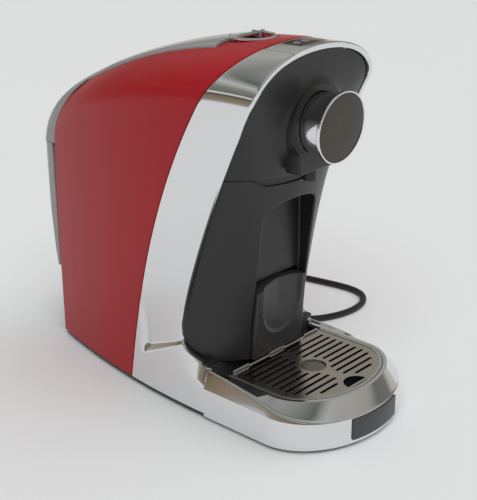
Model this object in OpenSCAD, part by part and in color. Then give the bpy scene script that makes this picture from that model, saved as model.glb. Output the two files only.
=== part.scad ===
// Pod coffee machine: slim body, chrome front arch, lift lever, water tank and drip tray.
// Millimetres. X across, Y to the back, Z up. Origin on the table, at the middle of the footprint.

/* [Body] */
// Width of the body at its widest
body_w = 156; // [152:0.5:162]
// Height of the crown above the table
body_h = 326; // [318:1:334]
// Height of the feet
foot_h = 3; // [2:0.5:4]
// Radius of a foot
foot_r = 8; // [6:0.5:10]
// Thickness of the base plate
base_t = 3; // [2:0.5:4]
// Thickness of the painted shell
shell_t = 3; // [2:0.25:4]
// Thickness of the chrome arch
arch_t = 5; // [4:0.25:6]
// Drop from the crown to the start of the shoulder
shoulder_h = 44; // [38:1:50]
// Gap left between neighbouring shells
seam_gap = 0.5; // [0.3:0.1:0.8]
// Half width of the slot for the lid
slot_half_w = 36; // [34.5:0.5:38]
// Front end of the lid slot
slot_front_y = -40; // [-44:1:-36]
// Back edge of the painted shell
shell_back_y = 166; // [162:0.5:168]

/* [Column and head] */
// Front of the column at its foot
column_front_y = -84; // [-88:0.5:-82]
// Front of the column at its top
column_top_y = -98; // [-101:0.5:-96]
// Height of the head, from the top of the column to the crown
head_h = 116; // [112:1:121]
// Wall of the column and head cover
cover_t = 3; // [2:0.25:4]
// Half width of the recess in the column
recess_half_w = 33.5; // [33.5:0.5:35]
// Depth of the top of the recess below the crown
recess_drop = 133; // [129:1:146]
// Depth of the recess behind the face of the column
recess_depth = 19; // [14:1:22]
// Front of the head cover at its top
head_front_y = -117; // [-118:0.25:-116]
// Depth of the brew axis below the crown
brew_drop = 64.4; // [62:0.2:67]
// Radius of the boss round the barrel
boss_r = 33; // [31:0.5:34]
// Front face of the boss
boss_front_y = -120; // [-123:0.5:-119]
// Radius of the chrome barrel
barrel_r = 25.5; // [22:0.5:27]
// Front face of the barrel
barrel_front_y = -140; // [-144:0.5:-136]
// Radius of the disc on the barrel
disc_r = 30; // [28:0.5:32]
// Radius of the coffee outlet
outlet_r = 6; // [5:0.5:8]
// Depth of the tip of the coffee outlet below the crown
outlet_drop = 114; // [110:1:121]

/* [Lever] */
// Half width of the lever
lever_half_w = 32.5; // [32.5:0.25:33.5]
// Thickness of the chrome cap of the lever
lever_t = 2.5; // [2:0.25:3]
// Depth of the liner below the crown
liner_depth = 7; // [6.5:0.25:7.5]
// Radius of the lever pin
pin_r = 3; // [2.5:0.25:3.5]
// Depth of the lever pin below the crown
pin_drop = 19; // [18:0.5:20]
// Place of the lever pin
pin_y = -60; // [-61:0.5:-59]
// Half width of the control panel
panel_half_w = 17; // [16:0.5:19]
// Radius of the small button
button_small_r = 3; // [2.5:0.25:3.5]
// Radius of the medium button
button_medium_r = 3.6; // [3:0.2:4]
// Radius of the large button
button_large_r = 4.2; // [3.5:0.25:4.5]
// Travel of a button
button_travel = 1; // [0.8:0.1:1.1]

/* [Tank] */
// Half width of the front of the tank
tank_half_w = 34.5; // [33:0.5:35]
// Half width of the back of the tank
tank_back_half_w = 46.5; // [45:0.5:47]
// Front wall of the tank
tank_front_y = 105; // [104:0.5:110]
// Back of the tank at its top
tank_back_y = 190; // [186:0.5:192]
// Back of the tank at its foot
tank_foot_y = 170; // [169.5:0.5:174]
// Underside of the tank
tank_z = 75; // [73:0.5:80]
// Depth of the top of the tank below the crown
tank_drop = 125; // [121:0.5:131]
// Wall of the tank and its lid
tank_t = 2.4; // [2:0.2:3]
// How far the lid stands above the crown
lid_proud = 2.25; // [2:0.25:3.5]
// Radius of the valve stem
valve_r = 3; // [2.5:0.25:3.5]
// Radius of the bail rod
bail_r = 1.6; // [1.4:0.1:2]
// Half width of the bail
bail_half_w = 18; // [16:0.5:20]

/* [Tray] */
// Back end of the tray
tray_back_y = -60.5; // [-61:0.25:-60]
// Where the collar starts to curve
tray_bend_y = -130; // [-134:1:-126]
// Depth of the curved front
tray_nose = 58.5; // [52:0.5:60]
// Height of the upright wall of the collar
collar_z = 27.5; // [25:0.5:30]
// Height of the ridge at the back of the collar
ridge_z = 46; // [45:0.25:46]
// Level of the grid
grid_z = 43; // [42:0.25:43.5]
// Thickness of the grid
grid_t = 1.2; // [1:0.1:1.5]
// Back edge of the grid
grid_back_y = -76; // [-77:0.25:-75.5]
// Width of the border between the collar's outline and the grid
border_w = 15; // [14:0.5:17]
// Width of a slot in the grid
grid_slot_w = 3; // [2.5:0.25:4]
// Distance between slots in the grid
grid_pitch = 7.6; // [7:0.2:9]
// Half width of the label plate
label_half_w = 30; // [26:0.5:32]
// Wall of the drip tray
tray_t = 2; // [1.5:0.25:2.5]

/* [Capsule bin] */
// Half width of the capsule bin
bin_half_w = 32.4; // [31:0.2:32.4]
// Underside of the capsule bin
bin_z = 46.8; // [46.8:0.1:48]
// Top of the capsule bin
bin_top_z = 115; // [110:1:120]
// Back of the capsule bin
bin_back_y = -22; // [-26:0.5:-21]
// Wall of the capsule bin
bin_t = 2; // [1.5:0.25:2.5]

/* [Mains lead] */
// Diameter of the mains lead
cord_d = 6.5; // [6:0.1:7]
// Radius of the plug body
plug_r = 17; // [15:0.5:19]
// Mean radius of the coil
coil_r = 36; // [34:1:40]

/* [Hidden] */
$fn = 48;

column_top_z = body_h - head_h;
recess_top_z = body_h - recess_drop;
brew_z = body_h - brew_drop;
outlet_z = body_h - outlet_drop;
pin_z = body_h - pin_drop;
tank_top_z = body_h - tank_drop;
tray_half_w = body_w/2 + 1;

// ---- surfaces of the body ----
shell_z = foot_h + base_t;
crown_y = -105;
crown_fall = 0.001;
taper_y = -60;
side_taper = 0.00062;
crown_power = 2.15;
side_share = 0.6;
function half_w(y) = body_w/2 - side_taper*pow(max(0, y - taper_y), 2);
function crown_z(y) = body_h - crown_fall*pow(y - crown_y, 2);

// A point of the right half of the cross-section at y: v runs from 0 at the foot to 1 at the crown.
function section(v, y, inset) =
    let(a = half_w(y) - inset, low = crown_z(y) - shoulder_h,
        turn = 90*(v - side_share)/(1 - side_share), e = 2/crown_power)
    v <= side_share
    ? [a, y, shell_z + (low - shell_z)*v/side_share]
    : [a*pow(max(0, cos(turn)), e), y, low + (shoulder_h - inset)*pow(sin(turn), e)];

// Height of the crown surface above a plan point.
function deck_z(x, y, inset) =
    let(a = half_w(y) - inset)
    crown_z(y) - shoulder_h
    + (shoulder_h - inset)*pow(1 - pow(abs(x)/a, crown_power), 1/crown_power);
function level(v) = section(v, taper_y, 0).z;

// Side view of the seam between the painted shell and the chrome arch.
seam_foot_y = 41;
seam_run = 132;
function seam_y(z) =
    let(t = z/body_h)
    seam_foot_y - seam_run*(0.42*t + 0.13*t*t + 0.45*t*t*t);

// Side view of the front rim of the arch, above the fillet at its foot.
rim_y = -31;
rim_run = 81;
rim_low_z = 81;
rim_high_z = body_h - shoulder_h;
rim_crown_run = 8;
fillet_r = 20;
fillet_z = 74;
function rim_front_y(z) =
    let(t = (z - rim_low_z)/(rim_high_z - rim_low_z), c = min(1, (z - rim_high_z)/shoulder_h))
    z > rim_high_z ? rim_y - rim_run - rim_crown_run*(1 - pow(1 - c, 2.8))
    : z > rim_low_z ? rim_y - rim_run*(0.72*t + 0.28*t*t)
    : z > fillet_z ? rim_y
    : z > fillet_z - fillet_r ? rim_y - fillet_r + sqrt(pow(fillet_r, 2) - pow(fillet_z - z, 2))
    : tray_back_y + seam_gap;

// Side view of the back edge of the painted shell, against v.
edge_low_y = 100;
function shell_edge_y(v) =
    let(t = min(1, max(0, (v - 0.35)/0.51)))
    edge_low_y + (shell_back_y - edge_low_y)*sqrt(1 - pow(t, 2.6));

function mix(a, b, t) = a + (b - a)*t;
function side_v(z) = side_share*(z - shell_z)/(body_h - shoulder_h - 2 - shell_z);

// Rows of the right half, from the foot to the crown, carried over the crown to the left foot.
function mirrored(rows) = concat(rows,
    [for (i = [len(rows) - 2:-1:0]) [for (p = rows[i]) [-p.x, p.y, p.z]]]);

// Two grids of points, outer and inner, closed into one thick sheet.
module slab(outer, inner) {
    rows = len(outer);
    cols = len(outer[0]);
    n = rows*cols;
    points = concat([for (r = outer) each r], [for (r = inner) each r]);
    function at(i, j, k) = k*n + i*cols + j;
    top = [for (i = [0:rows - 2], j = [0:cols - 2])
        each [[at(i, j, 0), at(i + 1, j, 0), at(i + 1, j + 1, 0)],
              [at(i, j, 0), at(i + 1, j + 1, 0), at(i, j + 1, 0)]]];
    under = [for (i = [0:rows - 2], j = [0:cols - 2])
        each [[at(i, j, 1), at(i + 1, j + 1, 1), at(i + 1, j, 1)],
              [at(i, j, 1), at(i, j + 1, 1), at(i + 1, j + 1, 1)]]];
    ends = [for (i = [0:rows - 2])
        each [[at(i, 0, 0), at(i, 0, 1), at(i + 1, 0, 1)],
              [at(i, 0, 0), at(i + 1, 0, 1), at(i + 1, 0, 0)],
              [at(i, cols - 1, 0), at(i + 1, cols - 1, 1), at(i, cols - 1, 1)],
              [at(i, cols - 1, 0), at(i + 1, cols - 1, 0), at(i + 1, cols - 1, 1)]]];
    sides = [for (j = [0:cols - 2])
        each [[at(0, j, 0), at(0, j + 1, 1), at(0, j, 1)],
              [at(0, j, 0), at(0, j + 1, 0), at(0, j + 1, 1)],
              [at(rows - 1, j, 0), at(rows - 1, j, 1), at(rows - 1, j + 1, 1)],
              [at(rows - 1, j, 0), at(rows - 1, j + 1, 1), at(rows - 1, j + 1, 0)]]];
    polyhedron(points, concat(top, under, ends, sides));
}

// A stack of closed rings with the same number of points, closed at both ends.
module skin(rings) {
    n = len(rings[0]);
    m = len(rings);
    wall = [for (i = [0:m - 2], j = [0:n - 1])
        each [[i*n + j, (i + 1)*n + j, (i + 1)*n + (j + 1) % n],
              [i*n + j, (i + 1)*n + (j + 1) % n, i*n + (j + 1) % n]]];
    first = [[for (j = [0:n - 1]) j]];
    last = [[for (j = [n - 1:-1:0]) (m - 1)*n + j]];
    polyhedron([for (r = rings) each r], concat(wall, first, last));
}

// A round tube swept along a list of points.
function unit(a) = a/norm(a);
function along(p, i) = unit(p[min(i + 1, len(p) - 1)] - p[max(i - 1, 0)]);
module tube(path, r, sides) {
    skin([for (i = [0:len(path) - 1])
        let(t = along(path, i), a = unit(cross(t, abs(t.z) > 0.9 ? [1, 0, 0] : [0, 0, 1])),
            b = cross(t, a))
        [for (j = [0:sides - 1]) path[i] + r*(a*cos(360*j/sides) + b*sin(360*j/sides))]]);
}

// Catmull-Rom points through a hand-chosen route.
function spline_at(p, i, t) =
    let(n = len(p) - 1, a = p[max(i - 1, 0)], b = p[i], c = p[i + 1], d = p[min(i + 2, n)])
    (2*b + (c - a)*t + (2*a - 5*b + 4*c - d)*t*t + (3*b - a - 3*c + d)*t*t*t)/2;
function spline(p, steps) =
    concat([for (i = [0:len(p) - 2], k = [0:steps - 1]) spline_at(p, i, k/steps)],
        [p[len(p) - 1]]);

// A flat shape drawn in side view (y, z), standing at x with thickness t.
module side_plate(x, t) {
    translate([x, 0, 0]) rotate([90, 0, 90]) linear_extrude(t) children();
}

// A round bar lying along Y from y0 to y1.
module bar_y(x, z, y0, y1, r) {
    translate([x, y0, z]) rotate([-90, 0, 0]) cylinder(h = y1 - y0, r = r);
}

// A round bar lying along X from x0 to x1.
module bar_x(y, z, x0, x1, r) {
    translate([x0, y, z]) rotate([0, 90, 0]) cylinder(h = x1 - x0, r = r);
}

module block(low, high) {
    translate(low) cube(high - low);
}

// ---- outer shells ----
finger_r = 26;
finger_depth = 6;
finger_wall = 2;
finger_y = slot_front_y - 11;

// A sheet that follows the crown, from depth top_in to depth low_in below its surface.
module deck_sheet(half, y0, y1, top_in, low_in) {
    across = 8;
    steps = 8;
    function face(drop) = [for (i = [0:across]) let(x = mix(-half, half, i/across))
        [for (k = [0:steps]) let(y = mix(y0, y1, k/steps)) [x, y, deck_z(x, y, 0) - drop]]];
    slab(face(low_in), face(top_in));
}

// The dish for a fingertip under the bail: a floor and a wall that meet the shell.
module finger_dish() {
    floor_top = crown_z(finger_y) - finger_depth;
    difference() {
        intersection() {
            deck_sheet(finger_r + 3, finger_y - finger_r - 3, slot_front_y, shell_t/2,
                finger_depth + 2*finger_wall + 2);
            translate([0, finger_y, floor_top - finger_wall])
                cylinder(h = body_h, r = finger_r + finger_wall);
        }
        translate([0, finger_y, floor_top]) cylinder(h = body_h, r = finger_r);
    }
}

module red_shell() {
    rows = concat([for (k = [0:10]) 0.06*k], [0.63, 0.67, 0.71, 0.75, 0.79, 0.82, 0.845, 0.87,
        0.9, 0.93, 0.965, 1]);
    steps = 14;
    function face(inset) = mirrored([for (v = rows) [for (k = [0:steps])
        section(v, mix(seam_y(level(v)), shell_edge_y(v), k/steps), inset)]]);
    color("firebrick") difference() {
        slab(face(0), face(shell_t));
        block([-slot_half_w, slot_front_y, tank_top_z], [slot_half_w, tank_back_y, body_h + 1]);
        translate([0, finger_y, crown_z(finger_y) - finger_depth])
            cylinder(h = body_h, r = finger_r);
    }
    color("firebrick") finger_dish();
}

lever_gap = 0.7;
module chrome_arch() {
    low_rows = [for (z = [shell_z, 30, 50, 53.9, 54.2, 55, 57, 60, 64, 69, fillet_z, rim_low_z,
        100, 125, 150, 175, 200, 225, 245, 264]) side_v(z)];
    high_rows = [for (k = [0:11]) mix(side_share, 1, k/11)];
    steps = 4;
    function face(inset) = mirrored([for (v = concat(low_rows, high_rows)) [for (k = [0:steps])
        section(v, mix(rim_front_y(level(v)), seam_y(level(v)) - seam_gap, k/steps), inset)]]);
    notch = lever_half_w + lever_gap;
    bar_top_z = body_h - arch_t - 3.8;
    color("silver") {
        difference() {
            slab(face(0), face(arch_t));
            block([-notch, head_front_y - 20, pin_z - 4], [notch, pin_y, body_h + 1]);
        }
        block([-notch - 5, head_front_y + 3.5, bar_top_z - 6],
            [notch + 5, head_front_y + 5.8, bar_top_z]);
    }
}

plan_steps = 12;
function plan_side(y0, y1, inset, side) =
    [for (k = [0:plan_steps]) let(y = mix(y0, y1, k/plan_steps)) [side*(half_w(y) - inset), y]];
module plan(y0, y1, inset) {
    right = plan_side(y0, y1, inset, 1);
    left = plan_side(y0, y1, inset, -1);
    polygon(concat(right, [for (i = [plan_steps:-1:0]) left[i]]));
}

base_inset = 1;
base_front_y = tray_back_y + 1.5;
screw_r = 1.9;
screw_head_r = 3.5;
screw_places = [[-45, -10], [45, -10], [-45, 40], [45, 40], [-40, 90], [40, 90]];
foot_places = [[-58, -40], [58, -40], [-38, 135], [38, 135]];
module base_plate() {
    color("dimgray") difference() {
        translate([0, 0, foot_h]) linear_extrude(base_t)
            plan(base_front_y, shell_back_y - 3, base_inset);
        for (p = screw_places) translate([p.x, p.y, 0]) {
            cylinder(h = foot_h + base_t - 1, r = screw_head_r + 0.3);
            cylinder(h = shell_z + 1, r = screw_r);
        }
    }
}

module feet() {
    color("black") for (p = foot_places) translate(p) cylinder(h = foot_h, r = foot_r);
}

screw_len = 6;
module base_screws() {
    color("gray") for (p = screw_places) translate([p.x, p.y, foot_h + 0.3]) {
        cylinder(h = base_t - 1.3, r = screw_head_r);
        cylinder(h = screw_len, r = screw_r);
    }
}

// ---- chassis and back ----
floor_t = 3;
floor_z = shell_z + floor_t;
bulk_y = tank_front_y - 8;
shelf_t = 3;
shelf_z = tank_z - 5;
panel_back_y = shell_back_y - 3;
tower_x = recess_half_w + 3;
tower_t = 3;
tower_front_y = -62;
tower_back_y = -18;
frame_z = column_top_z + 4;
bracket_z = column_top_z - 64;
bulk_top_z = column_top_z - 5;
inlet_y = 128;
inlet_r = 12;
module chassis() {
    wall_top = column_foot_z;
    mast_top_z = deck_z(slot_half_w, bulk_y, 0) - deck_drop - deck_t - 0.3;
    color("darkslategray") difference() {
        union() {
            block([-50, tray_back_y + 2, shell_z], [50, bulk_y, floor_z]);
            block([-70, tray_back_y + 2, shell_z], [70, tray_back_y + 5, wall_top]);
            block([-50, bulk_y - 3, shell_z], [50, bulk_y, bulk_top_z]);
            block([-slot_half_w, bulk_y - 3, shell_z], [slot_half_w, bulk_y, mast_top_z]);
            block([-40, bulk_y - 3, shelf_z], [40, panel_back_y - 3, shelf_z + shelf_t]);
            for (s = [-1, 1]) {
                block([min(s*37, s*40), bulk_y - 3, shell_z],
                    [max(s*37, s*40), panel_back_y - 3, shelf_z + 1]);
                block([min(s*tower_x, s*(tower_x + tower_t)), tower_front_y, bin_z - 6],
                    [max(s*tower_x, s*(tower_x + tower_t)), tower_back_y, frame_z]);
                block([min(s*tower_x, s*(tower_x + tower_t)), tower_front_y + 5, floor_z - 1],
                    [max(s*tower_x, s*(tower_x + tower_t)), tower_back_y, bin_z - 5]);
            }
            block([-tower_x - 1, tower_front_y, bin_z - 3.3], [tower_x + 1, tower_back_y, bin_z - 0.3]);
            block([-32, -8, bracket_z], [32, bulk_y - 1, bracket_z + 3]);
            for (p = board_holes) bar_y(p.x, p.y, bulk_y - 5, bulk_y - 2, 3.5);
        }
        translate([0, inlet_y, shelf_z - 1]) cylinder(h = shelf_t + 2, r = inlet_r + 0.3);
        block([15, bulk_y - 4, 30], [36, bulk_y + 1, 60]);
        block([-bin_half_w - 1.5, tray_back_y, bin_z - 0.3],
            [bin_half_w + 1.5, tray_back_y + 6, wall_top + 1]);
        block([switch_x - switch_w/2 + 0.9, panel_back_y - 12.3, switch_z - switch_h/2 + 0.9],
            [switch_x + switch_w/2 - 0.9, panel_back_y, switch_z + switch_h/2 - 0.9]);
        for (p = screw_places) translate([p.x, p.y, 0]) cylinder(h = 20, r = screw_r);
        for (p = board_holes) bar_y(p.x, p.y, bulk_y - 6, bulk_y + 1, 1.5);
    }
}

switch_x = 40.6 - body_w/2;
switch_z = 52;
switch_w = 11;
switch_h = 26;
gland_x = 30;
gland_z = 26;
gland_r = 6;
module rear_panel() {
    half = half_w(panel_back_y) - shell_t - 0.3;
    color("dimgray") difference() {
        block([-half, panel_back_y - 3, shell_z], [half, panel_back_y, shelf_z + shelf_t]);
        block([switch_x - switch_w/2 + 1, panel_back_y - 4, switch_z - switch_h/2 + 1],
            [switch_x + switch_w/2 - 1, panel_back_y + 1, switch_z + switch_h/2 - 1]);
        bar_y(gland_x, gland_z, panel_back_y - 4, panel_back_y + 1, gland_r - 1.5);
    }
}

// ---- column and head ----
column_foot_z = ridge_z + 1.5;
inside_gap = 0.3;
inside_w = body_w/2 - arch_t - inside_gap;
column_power = 0.7;
function column_edge_y(z) = rim_front_y(max(z, fillet_z)) + 2;
function column_mid_y(z) =
    mix(column_front_y, column_top_y, (z - column_foot_z)/(column_top_z - column_foot_z));
function round_front(x, edge, mid, w) =
    edge + (mid - edge)*pow(max(0, 1 - pow(x/w, 2)), column_power);

column_back = 4;
module column_mass(inset, grow, back) {
    levels = 9;
    across = 16;
    z0 = column_foot_z - grow;
    z1 = column_top_z + grow;
    function reach(z) = half_w(column_edge_y(z) + column_back) - arch_t - inside_gap - inset;
    function spread(k, z) = reach(z)*sin(90*(2*k/across - 1));
    front = [for (i = [0:levels]) let(z = mix(z0, z1, i/levels))
        [for (k = [0:across]) let(x = spread(k, z))
            [x, inset + round_front(x, column_edge_y(z), column_mid_y(z), reach(z)), z]]];
    rear = [for (i = [0:levels]) let(z = mix(z0, z1, i/levels))
        [for (k = [0:across]) [spread(k, z), column_edge_y(z) + back + inset, z]]];
    slab(front, rear);
}

// The arched outline of the recess, in front view.
module recess_outline(grow) {
    corner = 13 + grow;
    half = recess_half_w + grow;
    top = recess_top_z + grow;
    hull() {
        translate([-half, bin_top_z - grow]) square([2*half, 10]);
        for (s = [-1, 1]) translate([s*(half - corner), top - corner - 6]) circle(r = corner);
        translate([0, top - corner]) circle(r = corner);
    }
}

module front_opening(grow, y0, y1) {
    translate([0, y1, 0]) rotate([90, 0, 0]) linear_extrude(y1 - y0) recess_outline(grow);
}

recess_back_y = column_top_y + 6 + recess_depth;
module front_column() {
    wall = 2;
    foot_half_w = half_w(rim_y + column_back) - arch_t - inside_gap;
    color("dimgray") difference() {
        union() {
            column_mass(0, 0, column_back);
            block([-foot_half_w, base_front_y + 0.5, column_foot_z],
                [foot_half_w, rim_y + column_back, column_foot_z + cover_t]);
        }
        difference() {
            column_mass(cover_t, 5, 2*column_back);
            front_opening(wall, head_front_y, recess_back_y + wall);
        }
        front_opening(0, head_front_y, recess_back_y);
        block([-bin_half_w - 0.6, head_front_y, column_foot_z - 1],
            [bin_half_w + 0.6, 0, bin_top_z + 1]);
    }
}

cover_z = column_top_z + 3;
cover_top_z = body_h - arch_t - 3.5;
function inner_half_w(z) =
    let(low = body_h - shoulder_h - 2, t = max(0, (z - low)/(shoulder_h - arch_t - 0.3)))
    inside_w*pow(max(0, 1 - pow(t, crown_power)), 1/crown_power);
function cover_mid_y(z) =
    let(t = (z - cover_z)/(cover_top_z - cover_z))
    mix(column_top_y - 1, head_front_y, 1 - pow(max(0, 1 - t), 2.4));
module head_cover() {
    levels = 16;
    across = 16;
    function cover_level(i) = mix(cover_z, cover_top_z, sin(90*i/levels));
    function cover_grid(back) = [for (i = [0:levels]) let(z = cover_level(i), w = inner_half_w(z))
        [for (k = [0:across]) let(x = w*sin(90*(2*k/across - 1)))
            [x, back + round_front(x, rim_front_y(z) + 3, cover_mid_y(z), w), z]]];
    color("dimgray") difference() {
        union() {
            slab(cover_grid(0), cover_grid(cover_t));
            bar_y(0, brew_z, boss_front_y, column_top_y - 4, boss_r);
            block([-24, boss_front_y, outlet_z + 10], [24, column_top_y - 6, brew_z - 20]);
        }
        bar_y(0, brew_z, boss_front_y + 4, column_top_y, boss_r - 4);
        bar_y(0, brew_z, boss_front_y - 1, boss_front_y + 5, barrel_r + 0.3);
        block([-boss_r, funnel_front_y - 0.8, funnel_z - 6], [boss_r, 0, funnel_top_z]);
        translate([0, outlet_y, 0]) cylinder(h = brew_z - barrel_r, r = outlet_r);
    }
}

barrel_t = 2;
module brew_barrel() {
    color("silver") difference() {
        bar_y(0, brew_z, barrel_front_y, boss_front_y + 8, barrel_r);
        bar_y(0, brew_z, barrel_front_y + barrel_t, boss_front_y + 9, barrel_r - barrel_t);
    }
    color("silver") difference() {
        bar_y(0, brew_z, barrel_front_y - 3, barrel_front_y, disc_r);
        bar_y(0, brew_z, barrel_front_y - 4, barrel_front_y - 1, disc_r - 1.6);
    }
}

module badge_disc() {
    color("black") bar_y(0, brew_z, barrel_front_y - 2.6, barrel_front_y - 1, disc_r - 1.6);
}

outlet_y = boss_front_y + 9;
module coffee_outlet() {
    color("black") difference() {
        translate([0, outlet_y, outlet_z]) cylinder(h = 20, r = outlet_r);
        translate([0, outlet_y, outlet_z - 1]) cylinder(h = 30, r = outlet_r - 1.8);
    }
}

// ---- lever and controls ----
panel_front_y = rim_y - rim_run - rim_crown_run + 7;
lever_edge_cut = 2.3;
function lever_back_y(x) = seam_y(deck_z(x, crown_y, 0)) - seam_gap;
function lever_front_y(x) = rim_front_y(deck_z(x, crown_y, 0));
panel_back_edge_y = seam_y(body_h) - 3.3;
module lever_cap() {
    across = 12;
    steps = 5;
    function outer() = [for (i = [0:across]) let(x = mix(-lever_half_w, lever_half_w, i/across))
        [for (k = [0:steps]) let(y = mix(lever_front_y(x), lever_back_y(x), k/steps))
            [x, y, deck_z(x, y, 0)]]];
    function under() = [for (i = [0:across]) let(x = mix(-lever_half_w, lever_half_w, i/across))
        [for (k = [0:steps])
            let(y = mix(lever_front_y(x), lever_back_y(x) - lever_edge_cut, k/steps))
            [x, y, deck_z(x, y, 0) - (k < 1 ? arch_t : lever_t)]]];
    color("silver") difference() {
        slab(under(), outer());
        block([-panel_half_w - 0.3, panel_front_y - 0.3, pin_z],
            [panel_half_w + 0.3, panel_back_edge_y + 0.3, body_h + 1]);
    }
}

button_y = (panel_front_y + panel_back_edge_y)/2;
button_step = 10;
button_lip = 0.7;
lip_t = 1;
button_proud = 0.8;
button_play = 0.2;
panel_t = lever_t - 0.3;
board_t = 0.9;
function flange_z(x, r) =
    deck_z(abs(x) + r + button_lip, button_y, 0) - panel_t - button_play - lip_t;
pocket_z = flange_z(button_step, button_large_r) - button_travel - button_play - board_t;
module button(x, r) {
    translate([x, button_y, flange_z(x, r)]) {
        cylinder(h = lip_t, r = r + button_lip);
        cylinder(h = deck_z(x, button_y, 0) + button_proud - flange_z(x, r), r = r);
    }
}

module button_small() { color("silver") button(-button_step, button_small_r); }
module button_medium() { color("silver") button(0, button_medium_r); }
module button_large() { color("silver") button(button_step, button_large_r); }

module control_panel() {
    across = 8;
    function face(inset) = [for (i = [0:across])
        let(x = mix(-panel_half_w, panel_half_w, i/across))
        [for (y = [panel_front_y, button_y, panel_back_edge_y]) [x, y, deck_z(x, y, 0) - inset]]];
    holes = [[-button_step, button_small_r], [0, button_medium_r], [button_step, button_large_r]];
    color("black") difference() {
        slab(face(panel_t), face(0));
        for (h = holes) translate([h[0], button_y, pin_z]) cylinder(h = 30, r = h[1] + 0.3);
    }
}

liner_front_y = head_front_y + 7;
liner_back_y = pin_y - 35.6;
arm_in_r = 35.8;
arm_out_r = 41;
arm_x = 28;
arm_t = 4;
hub_r = 7;
module arm_outline() {
    reach = 60;
    intersection() {
        difference() {
            circle(r = arm_out_r);
            circle(r = arm_in_r);
        }
        polygon([[0, 0], for (a = [162:11:250]) reach*[cos(a), sin(a)]]);
    }
    circle(r = hub_r);
    rotate(243) translate([0, -4]) square([arm_in_r + 2, 8]);
}

pocket_half_w = 20;
pocket_wall = 0.9;
module lever_liner() {
    across = 8;
    half = lever_half_w - 0.7;
    function face(inset) = [for (i = [0:across]) let(x = mix(-half, half, i/across))
        [for (y = [liner_front_y, button_y, liner_back_y]) [x, y, deck_z(x, y, 0) - inset]]];
    color("black") difference() {
        union() {
            slab(face(liner_depth), face(lever_t + 0.3));
            for (x = [-arm_x - arm_t, arm_x]) side_plate(x, arm_t)
                translate([pin_y, pin_z]) arm_outline();
        }
        block([-pocket_half_w, liner_front_y + pocket_wall, pocket_z],
            [pocket_half_w, liner_back_y - 1.5, body_h]);
        bar_x(pin_y, pin_z, -body_w, body_w, pin_r + 0.05);
    }
}

board_gap = 0.3;
module button_board() {
    color("darkgreen") block([-pocket_half_w + board_gap, liner_front_y + pocket_wall + board_gap, pocket_z],
        [pocket_half_w - board_gap, liner_back_y - 1.5 - board_gap, pocket_z + board_t]);
}

cam_drop = 14;
cam_r = 8;
cam_t = 4;
module lever_cams() {
    color("gray") difference() {
        for (x = [-arm_x, arm_x - cam_t]) side_plate(x, cam_t) translate([pin_y, pin_z]) hull() {
            circle(r = hub_r);
            translate([0, -cam_drop]) circle(r = cam_r);
        }
        bar_x(pin_y, pin_z, -body_w, body_w, pin_r + 0.05);
    }
}

cheek_x = tower_x;
cheek_t = tower_t;
pin_half = cheek_x + cheek_t + 1.5;
module lever_pin() {
    color("silver") difference() {
        bar_x(pin_y, pin_z, -pin_half, pin_half, pin_r);
        for (s = [-1, 1]) bar_x(pin_y, pin_z, s*(pin_half - 0.6) - 0.3, s*(pin_half - 0.6) + 0.3, 0.8);
    }
}

module pin_clips() {
    color("gray") for (s = [-1, 1]) difference() {
        bar_x(pin_y, pin_z, s*(pin_half - 0.7) - 0.4, s*(pin_half - 0.7) + 0.4, pin_r + 1.5);
        bar_x(pin_y, pin_z, s*pin_half - 3, s*pin_half + 3, pin_r);
    }
}

// ---- brew unit ----
funnel_half_w = 25;
funnel_t = 2.2;
funnel_front_y = -111;
funnel_back_y = -84;
funnel_z = pin_z - 17;
funnel_top_z = pin_z + 6;
cheek_front_y = -86;
cheek_nose_y = -107;
module capsule_funnel() {
    w = funnel_half_w;
    color("black") difference() {
        union() {
            block([-w - funnel_t, funnel_front_y, funnel_z], [w + funnel_t, funnel_back_y, funnel_top_z]);
            block([-cheek_x, funnel_front_y + 3, funnel_z], [cheek_x, funnel_front_y + 7, pin_z - 6]);
        }
        block([-w, funnel_front_y + funnel_t, funnel_z - 1], [w, funnel_back_y - funnel_t, funnel_top_z + 1]);
    }
}

guide_y = -30;
guide_t = 6;
rod_r = 8;
piston_r = 22;
piston_face_y = -90;
piston_back_y = -50;
holder_r = 27;
module brew_frame() {
    color("gray") difference() {
        union() {
            for (x = [-cheek_x - cheek_t, cheek_x]) side_plate(x, cheek_t) {
                polygon([[tower_back_y, frame_z], [tower_back_y, pin_z - 13], [pin_y + 6, pin_z - 4],
                    [pin_y - 6, pin_z - 4], [cheek_nose_y, pin_z - 6], [cheek_nose_y, pin_z - 21],
                    [cheek_front_y - 5, pin_z - 23], [cheek_front_y, frame_z]]);
                translate([pin_y, pin_z - 1.5]) circle(r = pin_r + 4);
            }
            block([-cheek_x - 1, guide_y, brew_z - 20], [cheek_x + 1, guide_y + guide_t, brew_z + 20]);
            block([-cheek_x - 1, guide_y, frame_z], [cheek_x + 1, guide_y + guide_t, frame_z + 4]);
            for (s = [-1, 1]) block([min(s*holder_r*0.9, s*(cheek_x + 1)), -100, brew_z - 12],
                [max(s*holder_r*0.9, s*(cheek_x + 1)), -94, brew_z]);
            for (s = [-1, 1]) block([min(s*cheek_x, s*(cheek_x + 1)), -100, brew_z - 12],
                [max(s*cheek_x, s*(cheek_x + cheek_t)), cheek_front_y + 3, brew_z]);
        }
        bar_x(pin_y, pin_z, -body_w, body_w, pin_r);
        bar_y(0, brew_z, guide_y - 1, guide_y + guide_t + 1, rod_r + 0.05);
        bar_y(0, brew_z, -110, -90, holder_r);
    }
}

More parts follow.
